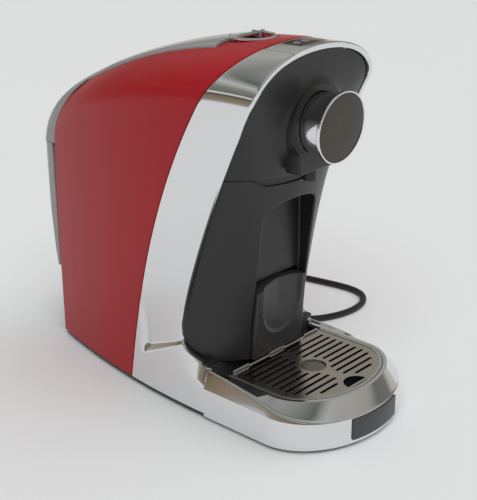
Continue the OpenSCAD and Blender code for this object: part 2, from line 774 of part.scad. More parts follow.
crosshead_top_z = pin_z - cam_drop - cam_r - 0.3;
module brew_piston() {
    color("silver") {
        difference() {
            bar_y(0, brew_z, piston_face_y, piston_back_y, piston_r);
            difference() {
                bar_y(0, brew_z, piston_face_y + 5, piston_face_y + 8, piston_r + 1);
                bar_y(0, brew_z, piston_face_y + 4, piston_face_y + 9, piston_r - 2);
            }
        }
        bar_y(0, brew_z, piston_back_y, -8, rod_r);
        block([-arm_x + 0.5, -66, crosshead_top_z - 6], [arm_x - 0.5, -54, crosshead_top_z]);
        block([-8, -66, brew_z], [8, -54, crosshead_top_z]);
    }
}

module piston_seal() {
    color("black") difference() {
        bar_y(0, brew_z, piston_face_y + 5, piston_face_y + 8, piston_r + 0.6);
        bar_y(0, brew_z, piston_face_y + 4, piston_face_y + 9, piston_r - 2);
    }
}

module capsule_holder() {
    color("gray") difference() {
        bar_y(0, brew_z, -108, -92.5, holder_r);
        bar_y(0, brew_z, -105, -92, holder_r - 2.5);
        bar_y(0, brew_z, -109, -100, 4);
        block([-funnel_half_w, -105, brew_z], [funnel_half_w, -91, brew_z + 40]);
        block([-funnel_half_w, -105, brew_z - 40], [funnel_half_w, -98, brew_z - 18]);
    }
}

function bin_face_y(z) = column_mid_y(z) + 5.5;
bin_face_t = 8;
scoop_z = 63;
scoop_r = 68;
module capsule_bin() {
    w = bin_half_w;
    back = bin_face_y(bin_z) + bin_face_t - 5;
    color("dimgray") difference() {
        union() {
            block([-w + 0.5, back - 1, bin_z], [w - 0.5, bin_back_y, bin_top_z - 6]);
            side_plate(-w, 2*w) polygon([[back, bin_z], [back, bin_top_z],
                [bin_face_y(bin_top_z), bin_top_z], [bin_face_y(bin_z), bin_z]]);
        }
        block([-w + 0.5 + bin_t, back, bin_z + bin_t],
            [w - 0.5 - bin_t, bin_back_y - bin_t, bin_top_z + 1]);
        translate([0, bin_face_y(scoop_z) - scoop_r, scoop_z - 10])
            cylinder(h = body_h, r = scoop_r, $fn = 96);
    }
}

// ---- tank and lid ----
deck_drop = shell_t + 0.6;
deck_t = 2;
module deck_panel() {
    color("dimgray")
        deck_sheet(slot_half_w + 3, slot_front_y + 0.3, tank_front_y - 5, deck_drop, deck_drop + deck_t);
}

// Plan of the tank: narrow between the shell's sides, wider behind its back edge.
tank_step_y = shell_back_y + 1;
tank_corner_r = 20;
function tank_side(inset) =
    let(w = tank_half_w - inset, b = tank_back_half_w - inset, step = tank_step_y + inset,
        depth = tank_back_y - inset - step)
    concat([[w - 6, tank_front_y + inset], [w, tank_front_y + 6 + inset], [w, step - 4],
            [w + 2, step - 0.5], [b, step]],
        [for (a = [15:15:90]) [b - tank_corner_r*(1 - cos(a)), step + depth*sin(a)]]);
module tank_plan(inset) {
    side = tank_side(inset);
    polygon(concat(side, [for (i = [len(side) - 1:-1:0]) [-side[i].x, side[i].y]]));
}

// What lies behind the leaning back wall.
module tank_back_cut(inset) {
    side_plate(-body_w, 2*body_w) polygon([[tank_foot_y - inset, tank_z - 1],
        [tank_back_y - inset, tank_top_z], [tank_back_y + 1, tank_top_z], [tank_back_y + 1, tank_z - 1]]);
}

tank_inner_z = tank_z + tank_t;
boss_z = shelf_z - 3;
sleeve_r = valve_r + 2;
module tank_body() {
    color("gray", 0.5) difference() {
        translate([0, 0, tank_z]) linear_extrude(tank_top_z - tank_z) tank_plan(0);
        tank_back_cut(0);
        difference() {
            translate([0, 0, tank_inner_z]) linear_extrude(tank_top_z) tank_plan(tank_t);
            tank_back_cut(tank_t);
        }
        translate([0, inlet_y, tank_z - 1]) cylinder(h = 2*tank_t, r = sleeve_r);
    }
}

// The seat passes through the tank floor and carries a cage for the spring.
valve_travel = 3;
seat_flange_t = 1.5;
valve_head_r = valve_r + 3;
valve_head_t = 2;
valve_head_z = tank_inner_z + seat_flange_t + 0.3;
cage_r = valve_head_r + 1.5;
cage_z = valve_head_z + valve_head_t + 3*valve_travel;
module valve_seat() {
    color("white") translate([0, inlet_y, 0]) {
        difference() {
            union() {
                translate([0, 0, boss_z]) cylinder(h = tank_z - boss_z, r = valve_r + 4);
                translate([0, 0, boss_z]) cylinder(h = tank_inner_z - boss_z + 1, r = sleeve_r);
                translate([0, 0, tank_inner_z]) cylinder(h = seat_flange_t, r = cage_r + 2);
            }
            translate([0, 0, boss_z - 1]) cylinder(h = 20, r = valve_r + 0.08);
        }
        for (s = [-1, 1]) block([min(s*cage_r, s*(cage_r + 2)), -2, tank_inner_z + 0.5],
            [max(s*cage_r, s*(cage_r + 2)), 2, cage_z + 1]);
        block([-cage_r - 2, -2, cage_z], [cage_r + 2, 2, cage_z + 2]);
    }
}

module tank_valve() {
    color("white") translate([0, inlet_y, 0]) {
        translate([0, 0, boss_z]) cylinder(h = valve_head_z - boss_z + 1, r = valve_r);
        translate([0, 0, valve_head_z]) cylinder(h = valve_head_t, r = valve_head_r);
    }
}

spring_wire_r = 0.5;
spring_r = valve_r + 0.6;
spring_turns = 3;
module tank_valve_spring() {
    z0 = valve_head_z + valve_head_t + spring_wire_r;
    z1 = cage_z - spring_wire_r;
    steps = 10*spring_turns;
    color("silver") tube([for (i = [0:steps]) let(a = 360*spring_turns*i/steps)
        [spring_r*cos(a), inlet_y + spring_r*sin(a), mix(z0, z1, i/steps)]], spring_wire_r, 6);
}

module tank_inlet_seal() {
    color("black") translate([0, inlet_y, shelf_z - 4]) difference() {
        cylinder(h = 7.7, r = inlet_r);
        translate([0, 0, -1]) cylinder(h = 10, r = valve_r + 4.3);
    }
}

// Side view of the lid along its middle: the crown line, then a curve down to the tank.
lid_bend_y = 132;
lid_knee = [183, crown_z(lid_bend_y) - 0.474*(183 - lid_bend_y)];
lid_z = tank_top_z + seam_gap;
function lid_mid(u) =
    let(y = mix(slot_front_y + 1, lid_bend_y, min(1, u/0.65)), t = max(0, (u - 0.65)/0.35),
        start = [lid_bend_y, crown_z(lid_bend_y) + lid_proud*0.4])
    u < 0.65 ? [y, crown_z(y) + lid_proud*(1 - 0.6*u/0.65)]
    : (1 - t)*(1 - t)*start + 2*t*(1 - t)*lid_knee + t*t*[tank_back_y, lid_z];
lid_side_gap = 0.6;
lid_front_y = slot_front_y + 1;
lid_edge_y = 98;
function lid_edge(u) =
    let(t = max(0, (u - 0.45)/0.55), y = mix(lid_front_y, lid_edge_y, min(1, u/0.45)),
        v = mix(0.86, 0.572, t), p = section(v, shell_edge_y(v), 0))
    u < 0.45 ? [slot_half_w - lid_side_gap, y, deck_z(slot_half_w, y, 0) + 0.5]
    : [max(slot_half_w, p.x) - lid_side_gap, p.y + lid_side_gap, max(p.z, lid_z)];
function lid_point(u, w, inset) =
    let(m = lid_mid(u), e = lid_edge(u), tail = max(0, u - 0.65)/0.35, side = min(1, max(0, u - 0.45)/0.1),
        c = pow(max(0, cos(90*w)), mix(0.85, 0.5, tail)),
        s = (w < 0 ? -1 : 1)*pow(abs(sin(90*w)), mix(1, 0.75, tail)))
    [(e.x - inset*max(tail, side))*s, mix(e.y, m.x, c) - inset*tail*c,
        mix(e.z, m.y, c) - inset*(1 - tail)*(1 - 0.5*tail)*mix(1, c, side)];
ear_x = bail_half_w - 4;
ear_t = 2;
pivot_y = lid_front_y - 4;
pivot_z = crown_z(lid_front_y) + lid_proud - 1;
bail_pin_r = 1.2;
module tank_lid() {
    steps = 20;
    across = 12;
    function face(inset) = [for (i = [0:steps])
        [for (k = [0:across]) lid_point(i/steps, 2*k/across - 1, inset)]];
    color("gray", 0.6) difference() {
        union() {
            slab(face(0), face(tank_t));
            for (s = [-1, 1]) block([s*ear_x - ear_t/2, pivot_y - 2.5, pivot_z - 4],
                [s*ear_x + ear_t/2, lid_front_y + 4, pivot_z + 2]);
        }
        bar_x(pivot_y, pivot_z, -body_w, body_w, bail_pin_r);
    }
}

module bail_pin() {
    reach = bail_half_w + 2.2;
    color("silver") bar_x(pivot_y, pivot_z, -reach, reach, bail_pin_r);
}

module tank_bail() {
    bend_y = pivot_y - 6;
    color("silver") difference() {
        union() {
            translate([0, bend_y, pivot_z]) rotate([0, 0, 180]) rotate_extrude(angle = 180)
                translate([bail_half_w, 0]) circle(r = bail_r, $fn = 24);
            for (s = [-1, 1]) {
                bar_y(s*bail_half_w, pivot_z, bend_y, pivot_y, bail_r);
                bar_x(pivot_y, pivot_z, s*bail_half_w - 1.8, s*bail_half_w + 1.8, bail_pin_r + 1.3);
            }
        }
        bar_x(pivot_y, pivot_z, -body_w, body_w, bail_pin_r + 0.05);
    }
}

// ---- drip tray ----
tray_front_y = tray_bend_y - tray_nose;
tray_floor_z = foot_h;
bend_steps = 24;
function bend_place(a, inset) =
    let(n = unit([-cos(a)/tray_half_w, -sin(a)/tray_nose]))
    [-tray_half_w*cos(a), tray_bend_y - tray_nose*sin(a)] - inset*n;
function tray_line(inset) = concat(
    [for (k = [0:3]) [-tray_half_w + inset, mix(tray_back_y, tray_bend_y, k/4)]],
    [for (k = [0:bend_steps]) bend_place(180*k/bend_steps, inset)],
    [for (k = [3:-1:0]) [tray_half_w - inset, mix(tray_back_y, tray_bend_y, k/4)]]);
module tray_plan(inset) { polygon(tray_line(inset)); }

skin_t = 3.2;
ridge_inset = 8;
module tray_collar() {
    border = tray_line(border_w);
    outer = tray_line(0);
    function place(i, d, z) =
        let(p = outer[i] + (border[i] - outer[i])*d/border_w) [p.x, p.y, z];
    function ring(i) =
        let(s = max(0, (outer[i].y - tray_front_y)/(tray_back_y - tray_front_y)),
            wall = collar_z + 2.5*s, ridge = collar_z + (ridge_z - collar_z)*pow(sin(90*s), 1.5))
        [place(i, 0, foot_h + 0.5), place(i, 0, wall), place(i, 0.4 + ridge_inset*pow(s, 1.4), ridge),
            place(i, border_w, grid_z), place(i, border_w, grid_z - 3),
            place(i, border_w - 4, grid_z - 4), place(i, skin_t, wall - 3),
            place(i, skin_t, foot_h + 0.5)];
    color("silver") skin([for (i = [0:len(outer) - 1]) ring(i)]);
}

label_t = 1.5;
module label_plate() {
    color("dimgray") translate([0, 0, foot_h + 4]) linear_extrude(collar_z - foot_h - 5)
        intersection() {
            difference() {
                tray_plan(-label_t);
                tray_plan(0);
            }
            translate([-label_half_w, tray_front_y - 20]) square([2*label_half_w, 40]);
        }
}

pad_places = [[-50, -90], [50, -90], [0, -165]];
module drip_tray() {
    inset = skin_t + 0.3;
    color("black") {
        difference() {
            translate([0, 0, tray_floor_z]) linear_extrude(collar_z - tray_floor_z - 3.5)
                tray_plan(inset);
            translate([0, -1.2*tray_t, tray_floor_z + tray_t]) linear_extrude(collar_z)
                intersection() {
                    tray_plan(inset + tray_t);
                    translate([-body_w, tray_front_y]) square([2*body_w, tray_back_y - tray_front_y]);
                }
        }
        for (y = [-96, -148]) block([-48, y - 1, tray_floor_z + 1], [48, y + 1, grid_z - grid_t - 0.3]);
        for (p = pad_places) translate(p) cylinder(h = tray_floor_z + 0.5, r = 6);
    }
}

grid_hole_y = boss_front_y + 1.5;
grid_hole_r = 11.5;
notch_y = -165;
module drip_grid() {
    rows = floor((grid_back_y - 14 - notch_y)/grid_pitch);
    tab_z = ridge_z - 0.4;
    module usable(inset) {
        intersection() {
            tray_plan(inset);
            translate([-body_w, tray_front_y]) square([2*body_w, grid_back_y - grid_t/2 - tray_front_y]);
        }
    }
    module slots() {
        difference() {
            intersection() {
                tray_plan(border_w + 8);
                for (k = [0:rows], s = [-1, 1])
                    translate([s > 0 ? 5 : -60, grid_back_y - 12 - k*grid_pitch])
                        square([55, grid_slot_w]);
            }
            translate([0, grid_hole_y]) circle(r = grid_hole_r + 4);
            translate([0, notch_y]) circle(r = 17);
        }
    }
    color("silver") {
        translate([0, 0, grid_z - grid_t]) linear_extrude(grid_t) difference() {
            usable(border_w + 0.4);
            slots();
            translate([0, grid_hole_y]) circle(r = grid_hole_r);
            difference() {
                translate([0, notch_y]) circle(r = 12);
                translate([-14, notch_y - 2]) square([28, 4]);
                translate([-14, notch_y - 14]) square([28, 9]);
            }
        }
        bar_x(grid_back_y - grid_t/2, grid_z - grid_t/2, -58, 58, grid_t/2);
        block([-58, grid_back_y - grid_t, grid_z - grid_t/2], [58, grid_back_y, grid_z + 1]);
        for (x = [-48, 0, 48]) block([x - 10, grid_back_y - grid_t, grid_z], [x + 10, grid_back_y, tab_z]);
    }
}

// ---- water and heat ----
boiler_y = 24;
boiler_r = 27;
boiler_h = 60;
boiler_z = bracket_z + 3;
boiler_top_z = boiler_z + boiler_h + 8;
module boiler() {
    color("silver") {
        translate([0, boiler_y, boiler_z]) cylinder(h = boiler_h, r = boiler_r);
        for (z = [boiler_z, boiler_z + boiler_h - 5]) translate([0, boiler_y, z])
            cylinder(h = 5, r = boiler_r + 3);
        translate([0, boiler_y, boiler_z + boiler_h]) cylinder(h = 8, r = 5);
        bar_x(boiler_y, boiler_z + 12, -boiler_r - 6, 0, 4);
    }
}

module thermostats() {
    color("gray") for (x = [-16, 16]) translate([x, boiler_y, boiler_z + boiler_h]) {
        cylinder(h = 5, r = 7.5);
        cylinder(h = 11, r = 4);
    }
}

pump_x = -14;
pump_z = 36;
pump_y0 = 14;
pump_y1 = 62;
module pump() {
    color("dimgray") {
        block([pump_x - 20, pump_y0 + 8, pump_z - 20], [pump_x + 20, pump_y1 - 8, pump_z + 20]);
        bar_y(pump_x, pump_z, pump_y0, pump_y1, 13);
        bar_y(pump_x, pump_z, pump_y0 - 8, pump_y1 + 8, 5);
    }
}

module pump_mounts() {
    color("black") for (y = [pump_y0 + 12, pump_y1 - 18])
        block([pump_x - 14, y, floor_z], [pump_x + 14, y + 6, pump_z - 20]);
}

meter_r = 13;
module flow_meter() {
    color("white") translate([0, inlet_y, 0]) {
        translate([0, 0, 42]) cylinder(h = 12, r = meter_r);
        translate([0, 0, 50]) cylinder(h = shelf_z - 54, r = inlet_r - 3);
    }
    color("white") bar_x(inlet_y, 48, 0, meter_r + 7, 4);
}

hose_r = 3;
feed_points = [[20.4, inlet_y, 48], [26, inlet_y, 48], [30, 116, 46], [27, 101, 42], [20, 88, 38],
    [6, 83, 36], [-10, 81, 36], [-14, 77, 36], [-14, 70.4, 36]];
pressure_points = [[-14, 5.5, 36], [-14, -1, 36], [-18, -8, 44], [-26, -6, 66], [-34, -2, 90],
    [-42, 8, boiler_z - 29], [-46, 18, boiler_z - 3], [-43, boiler_y, boiler_z + 10],
    [-39, boiler_y, boiler_z + 12], [-33.4, boiler_y, boiler_z + 12]];
brew_points = [[0, boiler_y, boiler_top_z + 0.4], [0, boiler_y, boiler_top_z + 6],
    [3, 18, boiler_top_z + 14], [11, 6, brew_z - 21.6], [18, -6, brew_z - 11.6],
    [21, -17, brew_z - 6.6], [21, -23.7, brew_z - 6.6]];
module hose(points) {
    color("white") tube(spline(points, 2), hose_r, 8);
}

module feed_hose() { hose(feed_points); }
module pressure_hose() { hose(pressure_points); }
module brew_hose() { hose(brew_points); }

// ---- power ----
board_z0 = bracket_z + 4;
board_z1 = bulk_top_z - 5;
board_y = bulk_y - 5;
board_holes = [[-38, board_z0 + 6], [38, board_z0 + 6], [-38, board_z1 - 6], [38, board_z1 - 6]];
module power_board() {
    color("darkgreen") difference() {
        block([-44, board_y - 1.6, board_z0 + 0.5], [44, board_y, board_z1]);
        for (p = board_holes) bar_y(p.x, p.y, board_y - 3, board_y + 1, 1.5);
    }
    color("black") {
        block([-30, board_y - 17, board_z0 + 24], [-12, board_y - 1.6, board_z0 + 40]);
        bar_y(2, board_z0 + 34, board_y - 20, board_y - 1.6, 7);
        block([14, board_y - 13, board_z0 + 24], [32, board_y - 1.6, board_z0 + 34]);
        for (x = [-24:12:24]) block([x - 4, board_y - 10, board_z0 + 8],
            [x + 4, board_y - 1.6, board_z0 + 18]);
    }
}

module board_screws() {
    color("gray") for (p = board_holes) {
        bar_y(p.x, p.y, board_y - 3.2, board_y - 1.6, 2.8);
        bar_y(p.x, p.y, board_y - 1.6, board_y + 5, 1.5);
    }
}

switch_front_y = panel_back_y + 3;
module switch_housing() {
    color("black") difference() {
        union() {
            block([switch_x - switch_w/2, panel_back_y, switch_z - switch_h/2],
                [switch_x + switch_w/2, switch_front_y, switch_z + switch_h/2]);
            block([switch_x - switch_w/2 + 1.2, panel_back_y - 12, switch_z - switch_h/2 + 1.2],
                [switch_x + switch_w/2 - 1.2, panel_back_y, switch_z + switch_h/2 - 1.2]);
        }
        block([switch_x - switch_w/2 + 2.2, panel_back_y - 10.5, switch_z - switch_h/2 + 2.2],
            [switch_x + switch_w/2 - 2.2, switch_front_y + 1, switch_z + switch_h/2 - 2.2]);
    }
    color("black") for (s = [-1, 1]) bar_x(switch_front_y - 3, switch_z,
        switch_x + s*(switch_w/2 - 2.4) - 0.9, switch_x + s*(switch_w/2 - 2.4) + 0.9, 1);
}

module power_switch() {
    h = switch_h/2 - 3;
    y = switch_front_y;
    color("black") difference() {
        side_plate(switch_x - switch_w/2 + 2.6, switch_w - 5.2) polygon([
            [y - 6, switch_z - h], [y - 1, switch_z - h], [y + 0.6, switch_z],
            [y + 3, switch_z + h], [y - 4, switch_z + h]]);
        bar_x(y - 3, switch_z, switch_x - 20, switch_x + 20, 1.05);
    }
}

// ---- mains lead ----
cord_r = cord_d/2;
gland_end_y = 190;
lie_z = cord_r + 0.05;
module cord_gland() {
    color("black") {
        bar_y(gland_x, gland_z, panel_back_y - 4, panel_back_y, gland_r - 1.5);
        bar_y(gland_x, gland_z, panel_back_y, panel_back_y + 3, gland_r + 2);
        translate([gland_x, panel_back_y + 3, gland_z]) rotate([-90, 0, 0])
            cylinder(h = gland_end_y - panel_back_y - 3, r1 = gland_r, r2 = cord_r + 0.6);
    }
}

coil_at = [150, 110];
coil_turns = 2;
lead_route = [[30, 190, 26], [30, 199, 26], [31, 208, 25], [33, 217, 22.5], [38, 226, 18],
    [46, 233, 12.5], [57, 238, 7.5], [70, 240, 4.3], [85, 240, lie_z], [104, 237, lie_z],
    [127, 229, lie_z], [150, 217, lie_z], [172, 199, lie_z], [190, 175, lie_z], [203, 146, lie_z],
    [212, 112, lie_z], [219, 88, lie_z], [224, 66, lie_z], [228, 46, lie_z], [231, 28, lie_z],
    [232, 13, lie_z], [230, 1, lie_z], [224, -9, lie_z], [215, -16, lie_z], [204, -20, lie_z],
    [189, -21.5, lie_z], [172, -19, lie_z], [155, -12.5, lie_z], [140, -2, lie_z],
    [127, 14, lie_z], [118, 34, lie_z], [113.5, 56, lie_z], [112, 78, lie_z], [113, 95, lie_z],
    [114, 110, lie_z]];
tail_route = [[114, 110, 16.3], [114, 122, 16.2], [114, 134, 16.2], [115, 146, 16.6],
    [116, 157, 17.3], [116, 168, 17.3]];
module cord_lead() {
    color("black") {
        tube(spline(lead_route, 1), cord_r, 8);
        tube(spline(tail_route, 1), cord_r, 8);
    }
}

module cord_coil() {
    color("black") translate([coil_at.x, coil_at.y, 0]) rotate_extrude()
        translate([coil_r - cord_r, 0]) square([cord_d, (coil_turns + 1)*cord_d + 0.1]);
}

plug_y = 168;
plug_z = plug_r + 0.3;
pin_spread = 9.5;
module mains_plug() {
    color("black") translate([116, plug_y, plug_z]) rotate([-90, 0, 0]) {
        cylinder(h = 12, r1 = cord_r + 1.5, r2 = plug_r - 3);
        translate([0, 0, 12]) cylinder(h = 26, r = plug_r);
    }
    color("silver") for (s = [-1, 1])
        bar_y(116 + s*pin_spread, plug_z, plug_y + 38, plug_y + 57, 2.4);
}

red_shell();
chrome_arch();
rear_panel();
base_plate();
feet();
base_screws();
chassis();
front_column();
head_cover();
brew_barrel();
badge_disc();
coffee_outlet();
lever_cap();
lever_liner();
lever_cams();
lever_pin();
pin_clips();
control_panel();
button_small();
button_medium();
button_large();
button_board();
capsule_funnel();
brew_frame();
brew_piston();
piston_seal();
capsule_holder();
capsule_bin();
deck_panel();
tank_body();
tank_lid();
bail_pin();
tank_bail();
valve_seat();
tank_valve();
tank_valve_spring();
tank_inlet_seal();
drip_tray();
tray_collar();
label_plate();
drip_grid();
boiler();
thermostats();
pump();
pump_mounts();
flow_meter();
feed_hose();
pressure_hose();
brew_hose();
power_board();
board_screws();
switch_housing();
power_switch();
cord_gland();
cord_lead();
cord_coil();
mains_plug();
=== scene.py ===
import contextlib
import math

import bmesh
import bpy
import numpy as np
from mathutils import Matrix, Vector


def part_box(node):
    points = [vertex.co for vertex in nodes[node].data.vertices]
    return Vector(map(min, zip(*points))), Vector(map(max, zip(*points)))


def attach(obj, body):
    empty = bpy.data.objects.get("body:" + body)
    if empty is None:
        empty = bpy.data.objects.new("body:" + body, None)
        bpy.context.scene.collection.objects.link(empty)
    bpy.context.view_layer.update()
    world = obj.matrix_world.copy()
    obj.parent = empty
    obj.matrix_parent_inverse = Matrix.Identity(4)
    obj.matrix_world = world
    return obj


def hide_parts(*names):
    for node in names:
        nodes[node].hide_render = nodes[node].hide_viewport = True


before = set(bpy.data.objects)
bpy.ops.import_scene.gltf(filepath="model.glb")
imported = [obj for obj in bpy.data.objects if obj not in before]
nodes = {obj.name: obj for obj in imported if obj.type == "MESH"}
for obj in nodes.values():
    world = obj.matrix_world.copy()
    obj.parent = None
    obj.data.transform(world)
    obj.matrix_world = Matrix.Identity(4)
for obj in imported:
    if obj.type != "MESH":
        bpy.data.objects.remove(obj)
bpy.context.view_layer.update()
mm = 0.001   # sizes below are in millimetres: X across, Y to the back, Z up
print("frame loaded:", len(nodes), "nodes")

viewSetup = {
    "place": (-702.24, -671.04, 500.67),
    "azimuth": -47.638,     # degrees about the vertical
    "elevation": 21.378,    # degrees, looking down
    "roll": -0.364,
    "lens": 81.905,         # for a 36 mm sensor along the longer side of the picture
}


def link(obj):
    bpy.context.scene.collection.objects.link(obj)
    return obj


def addCamera(setup):
    az, el, roll = (math.radians(setup[k]) for k in ("azimuth", "elevation", "roll"))
    right = Vector((math.cos(az), math.sin(az), 0))
    back = Vector((math.sin(az)*math.cos(el), -math.cos(az)*math.cos(el), math.sin(el)))
    up = back.cross(right)
    turned = Matrix((right*math.cos(roll) + up*math.sin(roll),
        up*math.cos(roll) - right*math.sin(roll), back)).transposed()
    data = bpy.data.cameras.new("viewCamera")
    data.lens = setup["lens"]
    data.sensor_width = 36
    data.clip_start = 0.05
    data.clip_end = 60
    camera = link(bpy.data.objects.new("viewCamera", data))
    camera.matrix_world = Matrix.Translation(Vector(setup["place"])*mm) @ turned.to_4x4()
    bpy.context.scene.camera = camera


addCamera(viewSetup)


# Materials. A Value wraps a socket, and sums and products on it add their Math nodes.
class Value:
    def __init__(self, finish, socket):
        self.finish = finish
        self.socket = socket

    def math(self, operation, *others):
        node = self.finish.add("ShaderNodeMath", {"operation": operation})
        for slot, item in zip(node.inputs, (self,) + others):
            self.finish.feed(slot, item)
        return Value(self.finish, node.outputs[0])

    def __add__(self, other):
        return self.math("ADD", other)

    def __mul__(self, other):
        return self.math("MULTIPLY", other)

    def __sub__(self, other):
        return self.math("SUBTRACT", other)

    def __rsub__(self, other):
        return (self*-1) + other

    def clamped(self):
        return self.math("MAXIMUM", 0).math("MINIMUM", 1)

    __radd__ = __add__
    __rmul__ = __mul__


class Graph:
    def __init__(self, tree):
        self.nodes = tree.nodes
        self.links = tree.links

    def feed(self, socket, item):
        if isinstance(item, Value):
            self.links.new(item.socket, socket)
        elif isinstance(item, bpy.types.NodeSocket):
            self.links.new(item, socket)
        else:
            socket.default_value = item

    def add(self, kind, settings=None, inputs=None):
        # the one way to any other node: its settings first, then its sockets by name or number
        node = self.nodes.new(kind)
        for key, item in (settings or {}).items():
            if key == "stops":
                ramp = node.color_ramp.elements
                while len(ramp) < len(item):
                    ramp.new(0.5)
                for stop, (place, shade) in zip(ramp, item):
                    stop.position = place
                    stop.color = (*shade, 1)
            else:
                setattr(node, key, item)
        for key, item in (inputs or {}).items():
            self.feed(node.inputs[key], item)
        return node


class Finish(Graph):
    def __init__(self, name, **constants):
        self.material = bpy.data.materials.new(name)
        self.material.use_nodes = True
        super().__init__(self.material.node_tree)
        self.shader = self.nodes["Principled BSDF"]
        for key, item in constants.items():
            self.put(key, item)

    def put(self, key, item):
        socket = self.shader.inputs[key.replace("_", " ")]
        self.feed(socket, (*item, 1) if isinstance(item, tuple) else item)

    def place(self, stretch=(1, 1, 1)):
        spot = self.add("ShaderNodeTexCoord").outputs["Object"]
        return self.add("ShaderNodeMapping", None, {"Vector": spot, "Scale": stretch}).outputs[0]

    def noise(self, scale, detail=2, stretch=(1, 1, 1)):
        node = self.add("ShaderNodeTexNoise", None,
            {"Vector": self.place(stretch), "Scale": scale, "Detail": detail})
        return Value(self, node.outputs["Fac"])

    def blend(self, mask, first, second):
        node = self.add("ShaderNodeMix", {"data_type": "RGBA"},
            {0: mask, 6: (*first, 1), 7: (*second, 1)})
        return node.outputs[2]

    def bump(self, height, strength, distance):
        node = self.add("ShaderNodeBump", None,
            {"Height": height, "Strength": strength, "Distance": distance})
        self.feed(self.shader.inputs["Normal"], node.outputs[0])


def shade(*levels):
    # display levels from 0 to 255, as the linear colour that a shader takes
    parts = [c/255 for c in levels]
    return tuple(c/12.92 if c < 0.04045 else ((c + 0.055)/1.055)**2.4 for c in parts)


def coated(name, dark, light, rough, spread, scale, stretch=(1, 1, 1), grain=None, **constants):
    # colour drifts between dark and light, roughness a little with it; grain is a dent's scale and depth
    finish = Finish(name, **constants)
    drift = finish.noise(scale, 3, stretch)
    finish.put("Base_Color", finish.blend(drift.clamped(), dark, light))
    finish.put("Roughness", (drift*spread + (rough - spread/2)).clamped())
    if grain:
        finish.bump(finish.noise(grain[0], 2), 0.5, grain[1])
    return finish.material


def metal(name, dark, light, rough, spread=0.05, stretch=(1, 1, 1), scale=40, grain=None):
    return coated(name, dark, light, rough, spread, scale, stretch, grain, Metallic=1.0)


def roughPlastic(name, level, rough):
    low, high = (shade(*(c + d for c in level)) for d in (-3, 3))
    return coated(name, low, high, rough, 0.08, 30, grain=(1400, 0.00006))


def boardGreen():
    # copper tracks as thin straight bands under green lacquer
    finish = Finish("lacqueredBoard", Roughness=0.35, Coat_Weight=0.4)
    waves = finish.add("ShaderNodeTexBrick", {"offset": 0.5},
        {"Vector": finish.place(), "Scale": 90, "Mortar Size": 0.03})
    finish.put("Base_Color", finish.blend(Value(finish, waves.outputs["Fac"]),
        shade(20, 84, 48), shade(92, 120, 60)))
    return finish.material


materials = {
    "red_gloss": coated("bodyRedPaint", shade(156, 20, 30), shade(168, 24, 34), 0.33, 0.04, 6,
        grain=(700, 0.00001), Coat_Weight=0.08, Coat_Roughness=0.12, Specular_IOR_Level=0.22),
    "mirror_chrome": metal("mirrorChrome", (0.78, 0.79, 0.80), (0.84, 0.85, 0.86), 0.045, 0.02, scale=9),
    "black_satin": roughPlastic("satinBlackPlastic", (31, 31, 32), 0.36),
    "black_gloss": coated("glossBlackPlastic", (0.006, 0.006, 0.006), (0.010, 0.010, 0.010), 0.12, 0.04, 14),
    "button_silver": metal("silverButton", (0.52, 0.52, 0.53), (0.60, 0.60, 0.61), 0.26),
    "smoky_tank": coated("smokyTank", shade(168, 168, 171), shade(178, 178, 181), 0.16, 0.04, 25,
        Transmission_Weight=0.35, IOR=1.45),
    "charcoal": roughPlastic("charcoalPlastic", (58, 60, 63), 0.38),
    "steel": metal("brushedSteel", (0.44, 0.43, 0.42), (0.56, 0.55, 0.54), 0.26, 0.10, (1, 8, 8), 60),
    "cast_aluminium": metal("castAluminium", (0.42, 0.42, 0.42), (0.55, 0.55, 0.55), 0.48, 0.12, scale=220,
        grain=(220, 0.0002)),
    "rubber_black": roughPlastic("footRubber", (26, 26, 26), 0.75),
    "cord_black": roughPlastic("cordSheath", (30, 30, 31), 0.42),
    "white_plastic": roughPlastic("milkyPlastic", (214, 214, 208), 0.42),
    "pump_grey": roughPlastic("pumpHousing", (112, 114, 116), 0.5),
    "circuit_green": boardGreen(),
}
discFinish = metal("smokedMirror", (0.080, 0.073, 0.064), (0.095, 0.087, 0.076), 0.07, 0.02, scale=12)
gridFinish = metal("stampedSteel", (0.54, 0.51, 0.46), (0.64, 0.605, 0.55), 0.20, 0.08, (6, 1, 6), 60)
# the pad's steel is darker than the grid's: painted shade for the pad sunk below the plate
padSteelPaintedShade = metal("padPaintedShadeSteel", (0.30, 0.29, 0.27), (0.38, 0.37, 0.34), 0.35)
pinSteel = metal("platedPins", (0.74, 0.73, 0.70), (0.84, 0.83, 0.80), 0.32)
print("materials made:", len(bpy.data.materials))


# Numbers and points.
def unit(t):
    return np.clip(t, 0, 1)


def ease(t):
    t = unit(t)
    return t*t*(3 - 2*t)


def mix(a, b, t):
    return a + (b - a)*t


def spots(*parts):
    # separate coordinates, single numbers or arrays, as points along a new last axis
    return np.stack(np.broadcast_arrays(*parts), -1)


# Shapes. A grid of points in rows and columns is joined by four-sided faces.
def grid(points, loopRows=False, loopCols=False):
    rows, cols = points.shape[:2]
    i = np.arange(rows if loopRows else rows - 1)[:, None]
    j = np.arange(cols if loopCols else cols - 1)[None, :]
    below, right = (i + 1) % rows, (j + 1) % cols
    quads = spots(i*cols + j, i*cols + right, below*cols + right, below*cols + j).reshape(-1, 4)
    return points.reshape(-1, 3), quads.tolist()


def cap(ring):
    return ring, [list(range(len(ring)))]


def swept(points):
    # rows of closed profiles, with a flat face over the first and the last
    return [grid(points, loopCols=True), cap(points[0]), cap(points[-1])]


